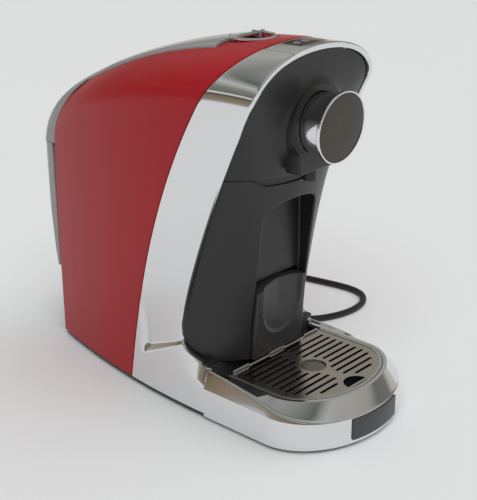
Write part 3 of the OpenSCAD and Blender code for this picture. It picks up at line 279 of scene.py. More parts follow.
def roundLoop(corners, radius, steps=5):
    # each corner of a closed loop becomes a curve between the points one radius before and after it
    corners = np.asarray(corners, float)
    t = np.linspace(0, 1, steps)[:, None]

    def reach(step):
        size = np.maximum(np.linalg.norm(step, axis=-1, keepdims=True), 1e-9)
        return (step*np.minimum(np.reshape(radius, (-1, 1))/size, 0.48))[..., None, :]
    before = reach(np.roll(corners, 1, -2) - corners)
    after = reach(np.roll(corners, -1, -2) - corners)
    curve = corners[..., None, :] + (1 - t)**2*before + t**2*after
    return curve.reshape(*corners.shape[:-2], -1, corners.shape[-1])


def spin(profile, centre, axis="y", steps=96):
    # a circle of radius profile[0] at each place profile[1] along the axis
    turn = np.linspace(0, 2*np.pi, steps, endpoint=False)[:, None]
    radius, along = np.asarray(profile, float).T
    a, b, c = radius*np.cos(turn), radius*np.sin(turn), along + 0*turn
    order = {"x": (c, a, b), "y": (a, c, b), "z": (a, b, c)}[axis]
    points = np.stack(order, -1) + np.asarray(centre, float)
    return [grid(points, loopRows=True, loopCols=True)]


def rounded(profile, radius):
    return roundLoop(profile, np.full(len(profile), float(radius)))


def blockLoop(low, high, radius, axis=2):
    # a box: its rounded outline carried along one axis, with its two ends drawn in by the same radius
    low, high = np.asarray(low, float), np.asarray(high, float)
    a, b = [k for k in range(3) if k != axis]
    turn = np.linspace(0, math.pi/2, 4)
    start = list(zip(low[axis] + radius*(1 - np.cos(turn)), radius*(1 - np.sin(turn))))
    end = [(low[axis] + high[axis] - place, inset) for place, inset in reversed(start)]
    loops = []
    for place, inset in start + end:
        corners = np.array([(low[a] + inset, low[b] + inset), (high[a] - inset, low[b] + inset),
            (high[a] - inset, high[b] - inset), (low[a] + inset, high[b] - inset)])
        loops.append(np.insert(rounded(corners, radius), axis, place, axis=1))
    return swept(np.array(loops))


def ringAt(inner, outer, low, high, radius, centre, axis="z", steps=48):
    # a turned ring, or a plug where the inner radius is 0
    corners = [(inner, low), (outer, low), (outer, high), (inner, high)]
    return spin(rounded(corners, radius), centre, axis, steps)


def uprightTool(flat):
    # a flat outline carried straight up through the grid's plate
    return swept(np.array([np.insert(flat, 2, z, axis=1) for z in (30, 60)]))


@contextlib.contextmanager
def meshWork(obj):
    work = bmesh.new()
    work.from_mesh(obj.data)
    yield work
    work.to_mesh(obj.data)
    work.free()


def creased(work, angle=40):
    # every face smooth, with a sharp edge where two faces meet at more than the angle
    for face in work.faces:
        face.smooth = True
    for edge in work.edges:
        edge.smooth = len(edge.link_faces) == 2 and edge.calc_face_angle(0) < math.radians(angle)


def makeMesh(name, patches, smooth=40, outward=True):
    verts, faces, start = [], [], 0
    for points, quads in patches:
        verts.append(np.asarray(points, float)*mm)
        faces += [[k + start for k in f] for f in quads]
        start += len(points)
    mesh = bpy.data.meshes.new(name)
    mesh.from_pydata(np.concatenate(verts), [], faces)
    obj = link(bpy.data.objects.new(name, mesh))
    tidyMesh(obj, smooth, outward)
    return obj


def tidyMesh(obj, smooth=40, outward=True):
    with meshWork(obj) as work:
        bmesh.ops.remove_doubles(work, verts=work.verts, dist=0.003*mm)
        bmesh.ops.dissolve_degenerate(work, edges=work.edges, dist=0.001*mm)
        if outward:
            bmesh.ops.recalc_face_normals(work, faces=work.faces)
        creased(work, smooth)


def settle(obj):
    # the mesh with its modifiers worked in
    graph = bpy.context.evaluated_depsgraph_get()
    done = bpy.data.meshes.new_from_object(obj.evaluated_get(graph))
    obj.modifiers.clear()
    obj.data = done
    tidyMesh(obj, outward=False)


def cut(obj, *cutters, operation="DIFFERENCE"):
    for patches in cutters:
        tool = makeMesh("cutter", patches)
        step = obj.modifiers.new("cut", "BOOLEAN")
        step.operation = operation
        step.solver = "EXACT"
        step.object = tool
        settle(obj)
        bpy.data.objects.remove(tool)


def soften(obj, width, segments=3, angle=40):
    step = obj.modifiers.new("soft edges", "BEVEL")
    step.width = width*mm
    step.segments = segments
    step.limit_method = "ANGLE"
    step.angle_limit = math.radians(angle)


def thicken(obj, depth):
    step = obj.modifiers.new("wall", "SOLIDIFY")
    step.thickness = depth*mm
    step.offset = -1
    step.use_even_offset = False


def dress(obj, body, slotName, replaced=(), material=None):
    obj.data.materials.clear()
    obj.data.materials.append(material or materials[slotName])
    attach(obj, body)
    if replaced:
        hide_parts(*replaced)
    return obj


def piece(name, patches, *looks, **more):
    return dress(makeMesh(name, patches), *looks, **more)


def copyOf(node, name, width=0.4, segments=2):
    # a CAD piece's own mesh, its flat faces joined up again and its edges broken
    obj = link(bpy.data.objects.new(name, nodes[node].data.copy()))
    with meshWork(obj) as work:
        bmesh.ops.remove_doubles(work, verts=work.verts, dist=0.002*mm)
        bmesh.ops.dissolve_limit(work, angle_limit=math.radians(1), verts=work.verts, edges=work.edges)
        creased(work)
    if width:
        soften(obj, width, segments)
    return obj


# The mains lead, in the order it leaves the back: loose on the table, a coil, then the plug.
leadSetup = {
    "diameter": 6.5,
    "lieZ": 3.3,
    "coilCentre": (150, 110),
    "coilRadius": 36,
    "coilTurns": 2,
    "turnRise": 6.5,
    "exit": (30, 190, 26),
}
dropRoute = [(30, 190, 26), (30, 199, 26), (31, 208, 25), (33, 217, 22.5), (38, 226, 18),
    (46, 233, 12.5), (57, 238, 7.5), (70, 240, 4.3)]
# from here the lead lies flat, so only X and Y are given
lieRoute = [(85, 240), (104, 237), (127, 229), (150, 217), (172, 199), (190, 175), (203, 146),
    (212, 112), (219, 88), (224, 66), (228, 46), (231, 28), (232, 13), (230, 1), (224, -9),
    (215, -16), (204, -20), (189, -21.5), (172, -19), (155, -12.5), (140, -2), (127, 14),
    (118, 34), (113.5, 56), (112, 78), (113, 95), (114, 110)]
leadRoute = dropRoute + [(x, y, leadSetup["lieZ"]) for x, y in lieRoute]
tailRoute = [(114, 110, 16.3), (114, 122, 16.2), (114, 134, 16.2), (115, 146, 16.6),
    (116, 157, 17.3), (116, 168, 17.3)]
reliefSetup = {"place": (30, 0, 26), "startY": 166, "endY": 190, "waves": 6, "wide": 6.0, "narrow": 3.85}
plugSetup = {
    "place": (116, 0, 17.3), "noseY": 168, "gripY": 180, "gripRun": 18, "ribs": 6, "faceY": 199, "backY": 206,
    "pinHalf": 9.5, "pinRadius": 2.4, "pinTip": 225,
}


def through(route, steps):
    # a smooth curve through given points: each stretch is a cubic set by its four nearest points
    p = np.asarray(route, float)
    p = np.concatenate([p[:1], p, p[-1:]])
    a, b, c, d = (p[k:len(p) - 3 + k, None, :] for k in range(4))
    t = np.linspace(0, 1, steps, endpoint=False)[None, :, None]
    curve = (2*b + (c - a)*t + (2*a - 5*b + 4*c - d)*t**2 + (3*b - a - 3*c + d)*t**3)/2
    return np.concatenate([curve.reshape(-1, 3), p[-1:]])


def coilPath(s):
    # two turns seen from above, clockwise; each climbs by one thickness over a quarter of its way
    turn = np.linspace(0, s["coilTurns"]*360, s["coilTurns"]*72 + 1)[1:-1]
    climb = np.zeros_like(turn)
    for k in range(s["coilTurns"]):
        climb += ease((turn - 360*k - 270)/90)
    angle = np.radians(180 - turn)
    x = s["coilCentre"][0] + s["coilRadius"]*np.cos(angle)
    y = s["coilCentre"][1] + s["coilRadius"]*np.sin(angle)
    return spots(x, y, s["lieZ"] + s["turnRise"]*climb)


def evenly(path, count):
    # the same line with its points at equal steps, lightly smoothed, its ends kept
    for _ in range(2):
        step = np.concatenate([[0], np.cumsum(np.linalg.norm(np.diff(path, axis=0), axis=1))])
        even = np.linspace(0, step[-1], count)
        path = np.stack([np.interp(even, step, path[:, k]) for k in range(3)], -1)
        for _ in range(6):
            path[1:-1] += 0.25*(path[:-2] - 2*path[1:-1] + path[2:])
    return path


def sweepTube(path, radii, sides=16):
    # a ring across the path at each point, turned from one to the next without twist
    tangent = np.gradient(path, axis=0)
    tangent /= np.linalg.norm(tangent, axis=1, keepdims=True)
    side = np.cross(tangent, [0, 0, 1.0])
    side /= np.linalg.norm(side, axis=1, keepdims=True)
    over = np.cross(side, tangent)
    turn = np.linspace(0, 2*np.pi, sides, endpoint=False)[None, :, None]
    rings = path[:, None] + np.reshape(radii, (-1, 1, 1))*(
        side[:, None]*np.cos(turn) + over[:, None]*np.sin(turn))
    return swept(rings)


def addLead(s):
    path = np.concatenate([through(leadRoute, 6)[:-1], coilPath(s), through(tailRoute, 6)])
    path = evenly(path, 620)
    tube = sweepTube(path, np.full(len(path), s["diameter"]/2))
    lead = piece("mainsLead", tube, "housing", "cord_black", ("cord_lead", "cord_coil"))
    piece("leadRelief", reliefPatches(reliefSetup), "housing", "cord_black", ("cord_gland",))
    plug = piece("mainsPlugBody", plugPatches(plugSetup), "housing", "cord_black", ("mains_plug",))
    pins = piece("mainsPlugPins", pinPatches(plugSetup), "housing", "cord_black", material=pinSteel)


def reliefPatches(s):
    # a cone with grooves round it: radius falls from wide to narrow, less a shallow wave
    start, end = s["startY"], s["endY"]
    y = np.linspace(start, end, 97)
    taper = mix(s["wide"], s["narrow"], (y - start)/(end - start))
    wave = unit(np.sin((y - start - 2)/(end - start)*2*np.pi*s["waves"]))
    skin = spots(taper - 0.55*wave*(y > start + 2)*(y < end - 1), y)
    flange = [(0, start - 7), (4.5, start - 7), (4.5, start - 3), (7.6, start - 3), (8, start - 2.6),
        (8, start - 0.4), (7.6, start)]
    profile = np.concatenate([flange, skin, [(3.3, end), (3.3, end - 4), (0, end - 4)]])
    return spin(profile, s["place"], steps=48)


def plugPatches(s):
    # nose cone, grip with shallow ribs, flat face
    start, face, back = s["noseY"], s["faceY"], s["backY"]
    way = np.linspace(0, s["gripRun"], 73)
    rib = 0.5*unit(np.cos(way/s["gripRun"]*2*np.pi*s["ribs"]))
    grip = spots(mix(14.2, 16.8, ease(way/8)) - rib, s["gripY"] + way)
    share = np.linspace(0, 1, 24)
    nose = spots(mix(4.75, 14.0, ease(share)), mix(start, s["gripY"] - 0.5, share))
    end = rounded([(17, face), (17, back), (0, back), (0, face + 1)], 1.2)[:-7]
    profile = np.concatenate([[(0, start + 4), (3.1, start + 4), (3.3, start)], nose, grip, end, [(0, back)]])
    return spin(profile, s["place"], steps=64)


def pinPatches(s):
    x, y, z = s["place"]
    return sum((ringAt(0, s["pinRadius"], s["backY"] - 1, s["pinTip"], 1.2, (x + side, y, z), "y", 24)
        for side in (-s["pinHalf"], s["pinHalf"])), [])


addLead(leadSetup)


# The body's surfaces, worked out from a few sizes.
bodySetup = {
    "halfWidth": 78, "height": 326, "crownY": -105, "crownFall": 0.001,
    "taperY": -60, "sideTaper": 0.00062, "shoulder": 44, "power": 2.15,
    "sideShare": 0.6, "footZ": 6, "seamGap": 0.5,
    "seamFoot": 41, "seamRun": 132, "seamCurve": (0.42, 0.13, 0.45),
    "backY": 100, "backBow": 66, "bowFrom": 0.35, "bowShare": 0.51,
}
# the arch's front edge from the side, upwards: foot, slope, quarter round, upright, long curve, crown
rimSetup = {
    "footY": -60.0, "footZ": 46, "slope": 18.8/10.6, "slopeTop": 56.6, "arcRadius": 20, "arcTop": 74,
    "uprightY": -31.0, "curveZ": 81, "run": 81, "crownZ": 282, "crownRun": 8,
}
crownHeight = bodySetup["height"]
shoulder = bodySetup["shoulder"]
sideShare = bodySetup["sideShare"]


def halfWidth(y):
    return bodySetup["halfWidth"] - bodySetup["sideTaper"]*np.maximum(0, y - bodySetup["taperY"])**2


def crownZ(y):
    return crownHeight - bodySetup["crownFall"]*(y - bodySetup["crownY"])**2


def section(v, y, inset=0.0):
    # v climbs the straight side, then turns over the shoulder on a superellipse up to the crown
    a, low = halfWidth(y) - inset, crownZ(y) - shoulder
    turn = unit((v - sideShare)/(1 - sideShare))*np.pi/2
    share = 2/bodySetup["power"]
    x = a*np.maximum(np.cos(turn), 1e-12)**share
    foot = bodySetup["footZ"]
    z = np.where(v <= sideShare, foot + (low - foot)*v/sideShare,
        low + (shoulder - inset)*np.sin(turn)**share)
    return np.stack(np.broadcast_arrays(x, y, z), -1)


def deckZ(x, y):
    reach = unit(np.abs(x)/halfWidth(y))
    power = bodySetup["power"]
    return crownZ(y) - shoulder + shoulder*(1 - reach**power)**(1/power)


def levelOf(v):
    return section(v, np.full_like(v, bodySetup["taperY"]))[..., 2]


def shareOf(z):
    foot = bodySetup["footZ"]
    return sideShare*(z - foot)/(crownZ(bodySetup["taperY"]) - shoulder - foot)


def seamY(z):
    # the line between paint and chrome, seen from the side
    s, t = bodySetup, z/crownHeight
    return s["seamFoot"] - s["seamRun"]*sum(part*t**(k + 1) for k, part in enumerate(s["seamCurve"]))


def rimY(z):
    s = rimSetup
    t = (z - s["curveZ"])/(s["crownZ"] - s["curveZ"])
    c = unit((z - s["crownZ"])/shoulder)
    slope = s["footY"] + (z - s["footZ"])*s["slope"]
    arc = np.sqrt(np.clip(s["arcRadius"]**2 - (s["arcTop"] - z)**2, 0, None)) - s["arcRadius"]
    curve = -s["run"]*(0.72*t + 0.28*t**2)
    crown = -s["run"] - s["crownRun"]*(1 - (1 - c)**2.8)
    levels = [z > s[key] for key in ("crownZ", "curveZ", "arcTop", "slopeTop", "footZ")]
    parts = [s["uprightY"] + part for part in (crown, curve, 0*z, arc)]
    return np.select(levels, parts + [slope], s["footY"])


def shellEdgeY(v):
    # the back edge of the painted shell, bowed forward towards the crown
    s = bodySetup
    t = unit((v - s["bowFrom"])/s["bowShare"])
    return s["backY"] + s["backBow"]*np.sqrt(1 - t**2.6)


def wrapped(start, end, thick, edge, along, under=10):
    # a sheet's closed profile: places from start to end over the top, round the edge and back below
    a = np.linspace(-np.pi/2, np.pi/2, 9)
    bend = edge*(1 - np.abs(np.cos(a))**0.5)
    drop = thick/2*(1 - np.sign(np.sin(a))*np.abs(np.sin(a))**0.5)
    over = np.linspace(0, 1, along + 2)[1:-1]
    back = np.linspace(1, 0, under + 2)[1:-1]
    fixed = np.concatenate([bend, edge*(1 - 2*over), -bend[::-1], edge*(1 - 2*back)])
    share = np.concatenate([0*bend, over, 0*bend + 1, back])
    depth = np.concatenate([drop, 0*over, drop[::-1], 0*back + thick])
    start, end = (np.reshape(e, (-1, 1)) for e in (start, end))
    return start + fixed + share*(end - start), depth[None, :]


shellSetup = {
    "thick": 3, "edge": 0.9, "slotHalf": 36, "slotFront": -40,
    "dishRadius": 25.5, "dishDepth": 5.6, "dishY": -51,
}


def addShell(s):
    side = np.linspace(-1, 1, 281)
    v = 1 - np.abs(side)
    y, depth = wrapped(seamY(levelOf(v)), shellEdgeY(v), s["thick"], s["edge"], 96)
    points = section(v[:, None], y, depth)
    points[..., 0] *= np.sign(side)[:, None]
    # a fingertip dish in front of the slot, deepest in its middle
    away = np.hypot(points[..., 0], points[..., 1] - s["dishY"])/s["dishRadius"]
    top = points[..., 2] > crownHeight - 2*shoulder
    points[..., 2] -= s["dishDepth"]*ease((1 - away)*1.7)*top
    shell = makeMesh("paintedShell", swept(points))
    slot = blockLoop((-s["slotHalf"], s["slotFront"], 201), (s["slotHalf"], 200, 340), 2.5)
    cut(shell, slot)
    dress(shell, "housing", "red_gloss", ("red_shell",))


archSetup = {
    "thick": 5, "edge": 1.7, "notchHalf": 33.2,
    "rows": ((6, 35, 8), (36, 45.6, 16), (46, 81, 60), (83, 279.9, 90)),   # from, to, count: dense low down
    # the tray's sloping ridge runs on into the foot and fades out over bevelRun
    "bevel": 8.4, "bevelRun": 36, "bevelTop": 66, "bevelFade": 40,
    "wallZ": 30, "wallRise": 5, "ridgeSlope": 0.564,
    # a second, lower crease starts at the upright's foot and falls towards the back
    "crease": 0.62, "creaseZ": 66, "creaseFall": 0.41, "creaseTall": 3.5, "creaseGrow": 0.1,
    "creaseEnd": 17, "creaseFade": 56,
}


def footBevel(points, s):
    y, z = points[..., 1], points[..., 2]
    behind = y - rimSetup["footY"]
    u = unit(behind/s["bevelRun"])
    wall = s["wallZ"] + s["wallRise"]*u
    ridge = rimSetup["footZ"] + s["ridgeSlope"]*behind
    q = unit((z - wall)/np.maximum(ridge - wall, 1))
    soft = np.where(q < 0.12, q**2/0.24, q - 0.06)/0.94
    bevel = s["bevel"]*(1 - u)**1.3*soft*(1 - ease((z - s["bevelTop"])/s["bevelFade"]))
    behind = y - rimSetup["uprightY"]
    top = s["creaseZ"] - s["creaseFall"]*behind
    tall = np.clip(s["creaseTall"] + s["creaseGrow"]*behind, 2.5, 9)
    climb = unit((z - top + tall)/tall)
    crease = s["crease"]*tall*mix(climb, ease(climb), 0.12)*(1 - ease((y - s["creaseEnd"])/5))
    points[..., 0] -= bevel + crease*(1 - ease((z - top - 3)/s["creaseFade"]))
    return points


def addArch(s):
    foot = np.concatenate([np.linspace(*span) for span in s["rows"]])
    reach = (s["notchHalf"]/bodySetup["halfWidth"])**bodySetup["power"]
    notch = sideShare + (1 - sideShare)*2/math.pi*math.asin(math.sqrt(1 - reach))
    v = np.concatenate([shareOf(foot), np.linspace(sideShare, notch, 70)])
    z = levelOf(v)
    y, depth = wrapped(rimY(z), seamY(z) - bodySetup["seamGap"], s["thick"], s["edge"], 44)
    right = footBevel(section(v[:, None], y, depth), s)
    left = right*[-1, 1, 1]
    bar = blockLoop((-38, -116.5, 311.2), (38, -114.2, 317.2), 0.6)
    piece("chromeArch", swept(right) + swept(left) + bar, "housing", "mirror_chrome", ("chrome_arch",))


leverSetup = {
    "halfWidth": 32.5, "thick": 2.5, "edge": 1.1, "lip": 5, "lipRun": 5,
    "panelHalf": 17, "panelGap": 0.3, "panelFront": -113, "panelBack": -94.3,
    "buttonY": -103.65, "buttonProud": 0.8, "buttons": [(-10, 3), (0, 3.6), (10, 4.2)],   # X and radius
}


def addLever(s):
    x = np.linspace(-s["halfWidth"], s["halfWidth"], 121)
    crown = deckZ(x, bodySetup["crownY"])
    y, depth = wrapped(rimY(crown), seamY(crown) - bodySetup["seamGap"], s["thick"], s["edge"], 40, 30)
    # the front lip reaches deeper than the rest
    lip = s["lip"] - s["thick"]
    share = unit((y - y.min(axis=1, keepdims=True))/s["lipRun"])
    depth = depth + lip*(depth/s["thick"])*(1 - ease(share))
    points = spots(x[:, None], y, deckZ(x[:, None], y) - depth)
    lever = makeMesh("leverCap", swept(points))
    half, gap = s["panelHalf"], s["panelGap"]
    opening = blockLoop((-half - gap, s["panelFront"] - gap, 300),
        (half + gap, s["panelBack"] + gap, 340), 2.2)
    cut(lever, opening)
    dress(lever, "lever", "mirror_chrome", ("lever_cap",))

    x = np.linspace(-half, half, 61)
    y, depth = wrapped(s["panelFront"] + 0*x, s["panelBack"] + 0*x, 2.2, 0.5, 24)
    points = spots(x[:, None], y, deckZ(x[:, None], y) - 0.15 - depth*0.93)
    panel = makeMesh("touchPanel", swept(points))
    cut(panel, *[ringAt(0, r + gap, 300, 340, 0.1, (x0, s["buttonY"], 0)) for x0, r in s["buttons"]])
    dress(panel, "lever", "black_gloss", ("control_panel",))

    for (x0, r), size in zip(s["buttons"], ("small", "medium", "large")):
        top = float(deckZ(abs(x0), s["buttonY"])) + s["buttonProud"]
        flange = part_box("button_" + size)[0][2]/mm
        dome = [(r*math.cos(a), top - 0.7 + 0.7*math.sin(a)) for a in np.linspace(0, math.pi/2, 9)]
        profile = [(0, flange), (r + 0.7, flange), (r + 0.7, flange + 1), (r, flange + 1)] + dome
        piece(size + "Button", spin(profile, (x0, s["buttonY"], 0), "z", 48),
            size + "_button", "button_silver", ("button_" + size,))


addShell(shellSetup)
addArch(archSetup)
addLever(leverSetup)
print("shell, arch and lever made")


columnSetup = {
    "footZ": 47.5, "topZ": 210, "footMid": -84, "topMid": -98, "back": 4, "behindRim": 2, "inset": 5.3,
    "recessHalf": 33.5, "recessTop": 193, "recessLow": 115, "corner": 12, "archRise": 3.5,
    "fillet": 2.2, "backPlane": -73, "wall": 2, "liftFrom": 196,
    "seamGap": 0.8, "neckTall": 6.4, "neckHalf": 34, "neckRun": 20, "neckBack": 1.6,
}
coverSetup = {
    "lowZ": 213, "topZ": 320.3, "lowMid": -99, "topMid": -117, "wall": 3,
    "seamZ": 215.5, "seamClimb": 6.5, "seamHalf": 72, "half": 72.7, "turnZ": 280, "turnTall": 40.6,
    "bossRadius": 33, "bossFront": -120, "brewZ": 261.6, "outletY": -111,
    "barrelRadius": 25.5, "barrelFront": -140, "barrelBack": -112.2, "rimRadius": 30, "discRadius": 28.4,
    "lean": 0.0875, "leanRun": 20, "nozzleIn": 4.2, "nozzleOut": 6, "nozzleZ": (212, 232),
}


def coverLow(x):
    # the cover's lower edge climbs towards both sides
    s = coverSetup
    return s["seamZ"] + s["seamClimb"]*np.minimum(1, np.abs(x)/s["seamHalf"])**1.5


def columnTop(x):
    # the column stops lower in the middle, which leaves a band of the neck in sight
    s = columnSetup
    side = ease((np.abs(x) - s["neckHalf"])/s["neckRun"])
    return coverLow(x) - s["seamGap"] - s["neckTall"]*(1 - side)


def raised(flat):
    # lifts the top of the column's outline to columnTop; nothing below the recess moves
    s, (x, z) = columnSetup, flat.T
    share = unit((z - s["liftFrom"])/(s["topZ"] - s["liftFrom"]))
    return spots(x, z + share**2*(columnTop(x) - s["topZ"]))


def columnEdge(z):
    return np.where(z > rimSetup["curveZ"], rimY(z), rimSetup["uprightY"]) + columnSetup["behindRim"]


def columnMid(z):
    s = columnSetup
    return mix(s["footMid"], s["topMid"], (z - s["footZ"])/(s["topZ"] - s["footZ"]))


def roundFront(x, edge, mid, w):
    return edge + (mid - edge)*np.maximum(0, 1 - (x/w)**2)**0.7


def columnReach(z):
    return halfWidth(columnEdge(z) + columnSetup["back"]) - columnSetup["inset"]


def columnFront(x, z):
    return roundFront(x, columnEdge(z), columnMid(z), columnReach(z))


def recessLine(count, grow=0.0):
    # half of the opening's outline: up the straight side, round a corner, along a low arch to the middle
    s = columnSetup
    corner = s["corner"] + grow
    half, top = s["recessHalf"] + grow, s["recessTop"] + grow
    z = np.linspace(s["footZ"], top - corner - s["archRise"], count)
    side = spots(half, z)
    a = np.radians(np.linspace(0, 72, 22))[1:]
    bend = spots(half - corner + corner*np.cos(a), top - corner - s["archRise"] + corner*np.sin(a))
    t = np.linspace(0, 1, 22)[1:, None]
    end, mid = bend[-1], np.array([0, top - 0.6])
    knee = np.array([end[0]*0.45, top - 0.2])
    arch = (1 - t)**2*end + 2*t*(1 - t)*knee + t**2*mid
    line = np.concatenate([side, bend, arch])
    return np.concatenate([line, (line*[-1, 1])[-2::-1]])


def columnRows(s):
    sideCount = 48
    line = recessLine(sideCount)
    count = len(line)
    middle = (count - 1)//2
    # the border: up one side of the column, across its top and down the other
    upright = sideCount + 10
    z = mix(s["footZ"], s["topZ"], np.linspace(0, 1, upright))
    across = np.linspace(1, 0, middle - upright + 2)[1:]
    top = s["topZ"]
    half = np.concatenate([spots(columnReach(z), z), spots(across*columnReach(np.array(top)), top)])
    border = np.concatenate([half, (half*[-1, 1])[-2::-1]])
    rows = []

    def row(flat, y):
        rows.append(spots(flat[:, 0], y, flat[:, 1]))
    inner, border = border, raised(border)
    edge = columnFront(border[:, 0]*0.9999, border[:, 1])
    row(border, edge + s["back"])
    row(border, edge + s["back"]/2)
    outer = recessLine(sideCount, s["fillet"])
    for share in np.linspace(0, 1, 30):
        flat = raised(mix(inner, outer, 1 - (1 - share)**1.15))
        row(flat, columnFront(flat[:, 0]*0.9999, flat[:, 1]))
    for turn in np.linspace(0, np.pi/2, 8)[1:]:
        flat = recessLine(sideCount, s["fillet"]*(1 - math.sin(turn)))
        row(flat, columnFront(flat[:, 0], flat[:, 1]) + s["fillet"]*(1 - math.cos(turn)))
    deep = rows[-1][:, 1]
    for share in np.linspace(0, 1, 9)[1:]:
        row(line, mix(deep, s["backPlane"] - 1.5, share))
    for turn in np.linspace(0, np.pi/2, 6)[1:]:
        row(recessLine(sideCount, -1.5*(1 - math.cos(turn))), s["backPlane"] - 1.5 + 1.5*math.sin(turn))
    return np.array(rows), line, sideCount


def addColumn(s):
    rows, line, sideCount = columnRows(s)
    # the back of the recess: straight across, only above the bin
    low = int(np.searchsorted(line[:sideCount, 1], s["recessLow"]))
    last = rows[-1][low:len(line) - low]
    half = last[None, :len(last)//2 + 1]
    panel = mix(half, half*[-1, 1, 1], np.linspace(0, 1, 21)[:, None, None])
    front = makeMesh("columnFront", [grid(rows), grid(panel)], outward=False)
    turnTowards(front, (0, -1, 0))
    thicken(front, s["wall"])
    settle(front)
    soften(front, 0.5, 2, 60)
    side = halfWidth(-27) - s["inset"] - 0.1
    foot = blockLoop((-side, -58.4, s["footZ"]), (side, -27.2, s["footZ"] + 3), 0.6)
    # the neck: a strip set back between the column and the cover over it
    x = np.linspace(-1, 1, 121)[None, :]*(columnReach(np.array(s["topZ"])) - 1.5)
    z = mix(columnTop(x) - 3, coverLow(x) + 2.6, np.linspace(0, 1, 7)[:, None])
    neck = spots(x, columnFront(x, z) + s["neckBack"], z)
    dress(front, "housing", "black_satin", ("front_column",))
    piece("columnTrim", foot + slab(neck, neck + [0, s["wall"], 0]), "housing", "black_satin")


def slab(front, back):
    # two grids of the same size, joined round their edges
    n = [np.stack([front[i], back[i]]) for i in (0, -1)]
    m = [np.stack([front[:, j], back[:, j]]) for j in (0, -1)]
    return [grid(front), grid(back)] + [grid(e) for e in n + m]


def turnTowards(obj, direction):
    with meshWork(obj) as work:
        bmesh.ops.recalc_face_normals(work, faces=work.faces)
        lean = sum(f.normal.dot(Vector(direction))*f.calc_area() for f in work.faces)
        if lean < 0:
            bmesh.ops.reverse_faces(work, faces=work.faces)


def coverHalf(z):
    s, power = coverSetup, bodySetup["power"]
    t = unit((z - s["turnZ"])/s["turnTall"])
    return s["half"]*np.maximum(0, 1 - t**power)**(1/power)


def coverMid(z):
    s = coverSetup
    t = unit((z - s["lowZ"])/(s["topZ"] - s["lowZ"]))
    return mix(s["lowMid"], s["topMid"], 1 - (1 - t)**2.4)


def leaned(patches):
    # the barrel's end faces a little downwards: its top moves forward, more so towards the front
    s = coverSetup
    moved = []
    for points, faces in patches:
        points = np.array(points, float)
        share = unit((s["bossFront"] - points[:, 1])/s["leanRun"])
        points[:, 1] -= s["lean"]*share*(points[:, 2] - s["brewZ"])
        moved.append((points, faces))
    return moved


def addHead(s):
    level = np.sin(np.linspace(0, np.pi/2, 70))
    z = mix(s["lowZ"], s["topZ"], level)[:, None]
    w = coverHalf(z)
    x = w*np.sin(np.linspace(-1, 1, 101)*np.pi/2)[None, :]
    z = z + (coverLow(x) - s["lowZ"])*(1 - level[:, None])**2
    front = spots(x, roundFront(x, rimY(z) + 3, coverMid(z), w), z)
    # where the shell of the cover meets the boss it swells out softly
    away = np.hypot(front[..., 0], front[..., 2] - s["brewZ"]) - s["bossRadius"]
    swell = 3.0*np.exp(-np.clip(away, 0, None)/4.5)*(away > -6)
    front[..., 1] = np.maximum(front[..., 1] - swell, s["bossFront"] + 0.8)
    cover = makeMesh("headCover", slab(front, front + [0, s["wall"], 0]))
    r, f = s["bossRadius"], s["bossFront"]
    centre, outlet = (0, 0, s["brewZ"]), (0, s["outletY"], 0)
    cut(cover, ringAt(0, r - 3, f - 10, f + 30, 0.3, centre, "y", 96))
    soften(cover, 0.5, 2, 60)
    b, e = s["barrelRadius"], s["barrelFront"]
    boss = rounded([(r - 3.4, f + 20), (r, f + 20), (r, f), (b + 0.3, f), (b + 0.3, f + 4.5),
        (r - 3.4, f + 4.5)], 1.0)
    spout = blockLoop((-24, f, 222), (24, f + 16, 241.6), 1.6)
    ring = makeMesh("barrelBoss", spin(boss, centre, steps=128))
    cut(ring, spout, operation="UNION")
    (low, high), pipe = s["nozzleZ"], s["nozzleOut"]
    cut(ring, ringAt(0, pipe + 0.3, low - 12, high + 4, 0.2, outlet))
    dress(cover, "housing", "black_satin", ("head_cover",))
    dress(ring, "housing", "black_satin")

    nozzle = ringAt(s["nozzleIn"], pipe, low, high, 0.5, outlet, steps=64)
    piece("coffeeNozzle", nozzle, "housing", "black_satin", ("coffee_outlet",))
    back, q, d = s["barrelBack"], s["rimRadius"], s["discRadius"]
    barrel = rounded([(0, e), (b, e), (b, back), (b - 2, back), (b - 2, e + 2), (0, e + 2)], 0.4)
    rim = rounded([(q - 3, e), (q, e), (q, e - 3), (q - 1.4, e - 3), (d, e - 1.2), (q - 3, e - 1.2)], 0.55)
    turned = spin(barrel, centre, steps=128) + spin(rim, centre, steps=128)
    piece("brewBarrel", leaned(turned), "housing", "mirror_chrome", ("brew_barrel",))
    disc = rounded([(0, e - 2.5), (d, e - 2.2), (d, e - 0.9), (0, e - 0.9)], 0.4)
    face = leaned(spin(disc, centre, steps=128))
    piece("bareDisc", face, "housing", "black_gloss", ("badge_disc",), discFinish)


addColumn(columnSetup)
addHead(coverSetup)
print("column and head made")


binSetup = {
    "halfWidth": 32.4, "lowZ": 46.8, "topZ": 115, "back": -22, "face": 5.5, "archRise": 4,
    "scoopHalf": 25.5, "scoopTop": 116, "scoopStraight": 22, "scoopLow": 64, "scoopDepth": 6.5,
    "faceRadius": 2.4, "tubHalf": 31.9, "tubFront": -70.5, "tubTop": 109, "wall": 2,
}


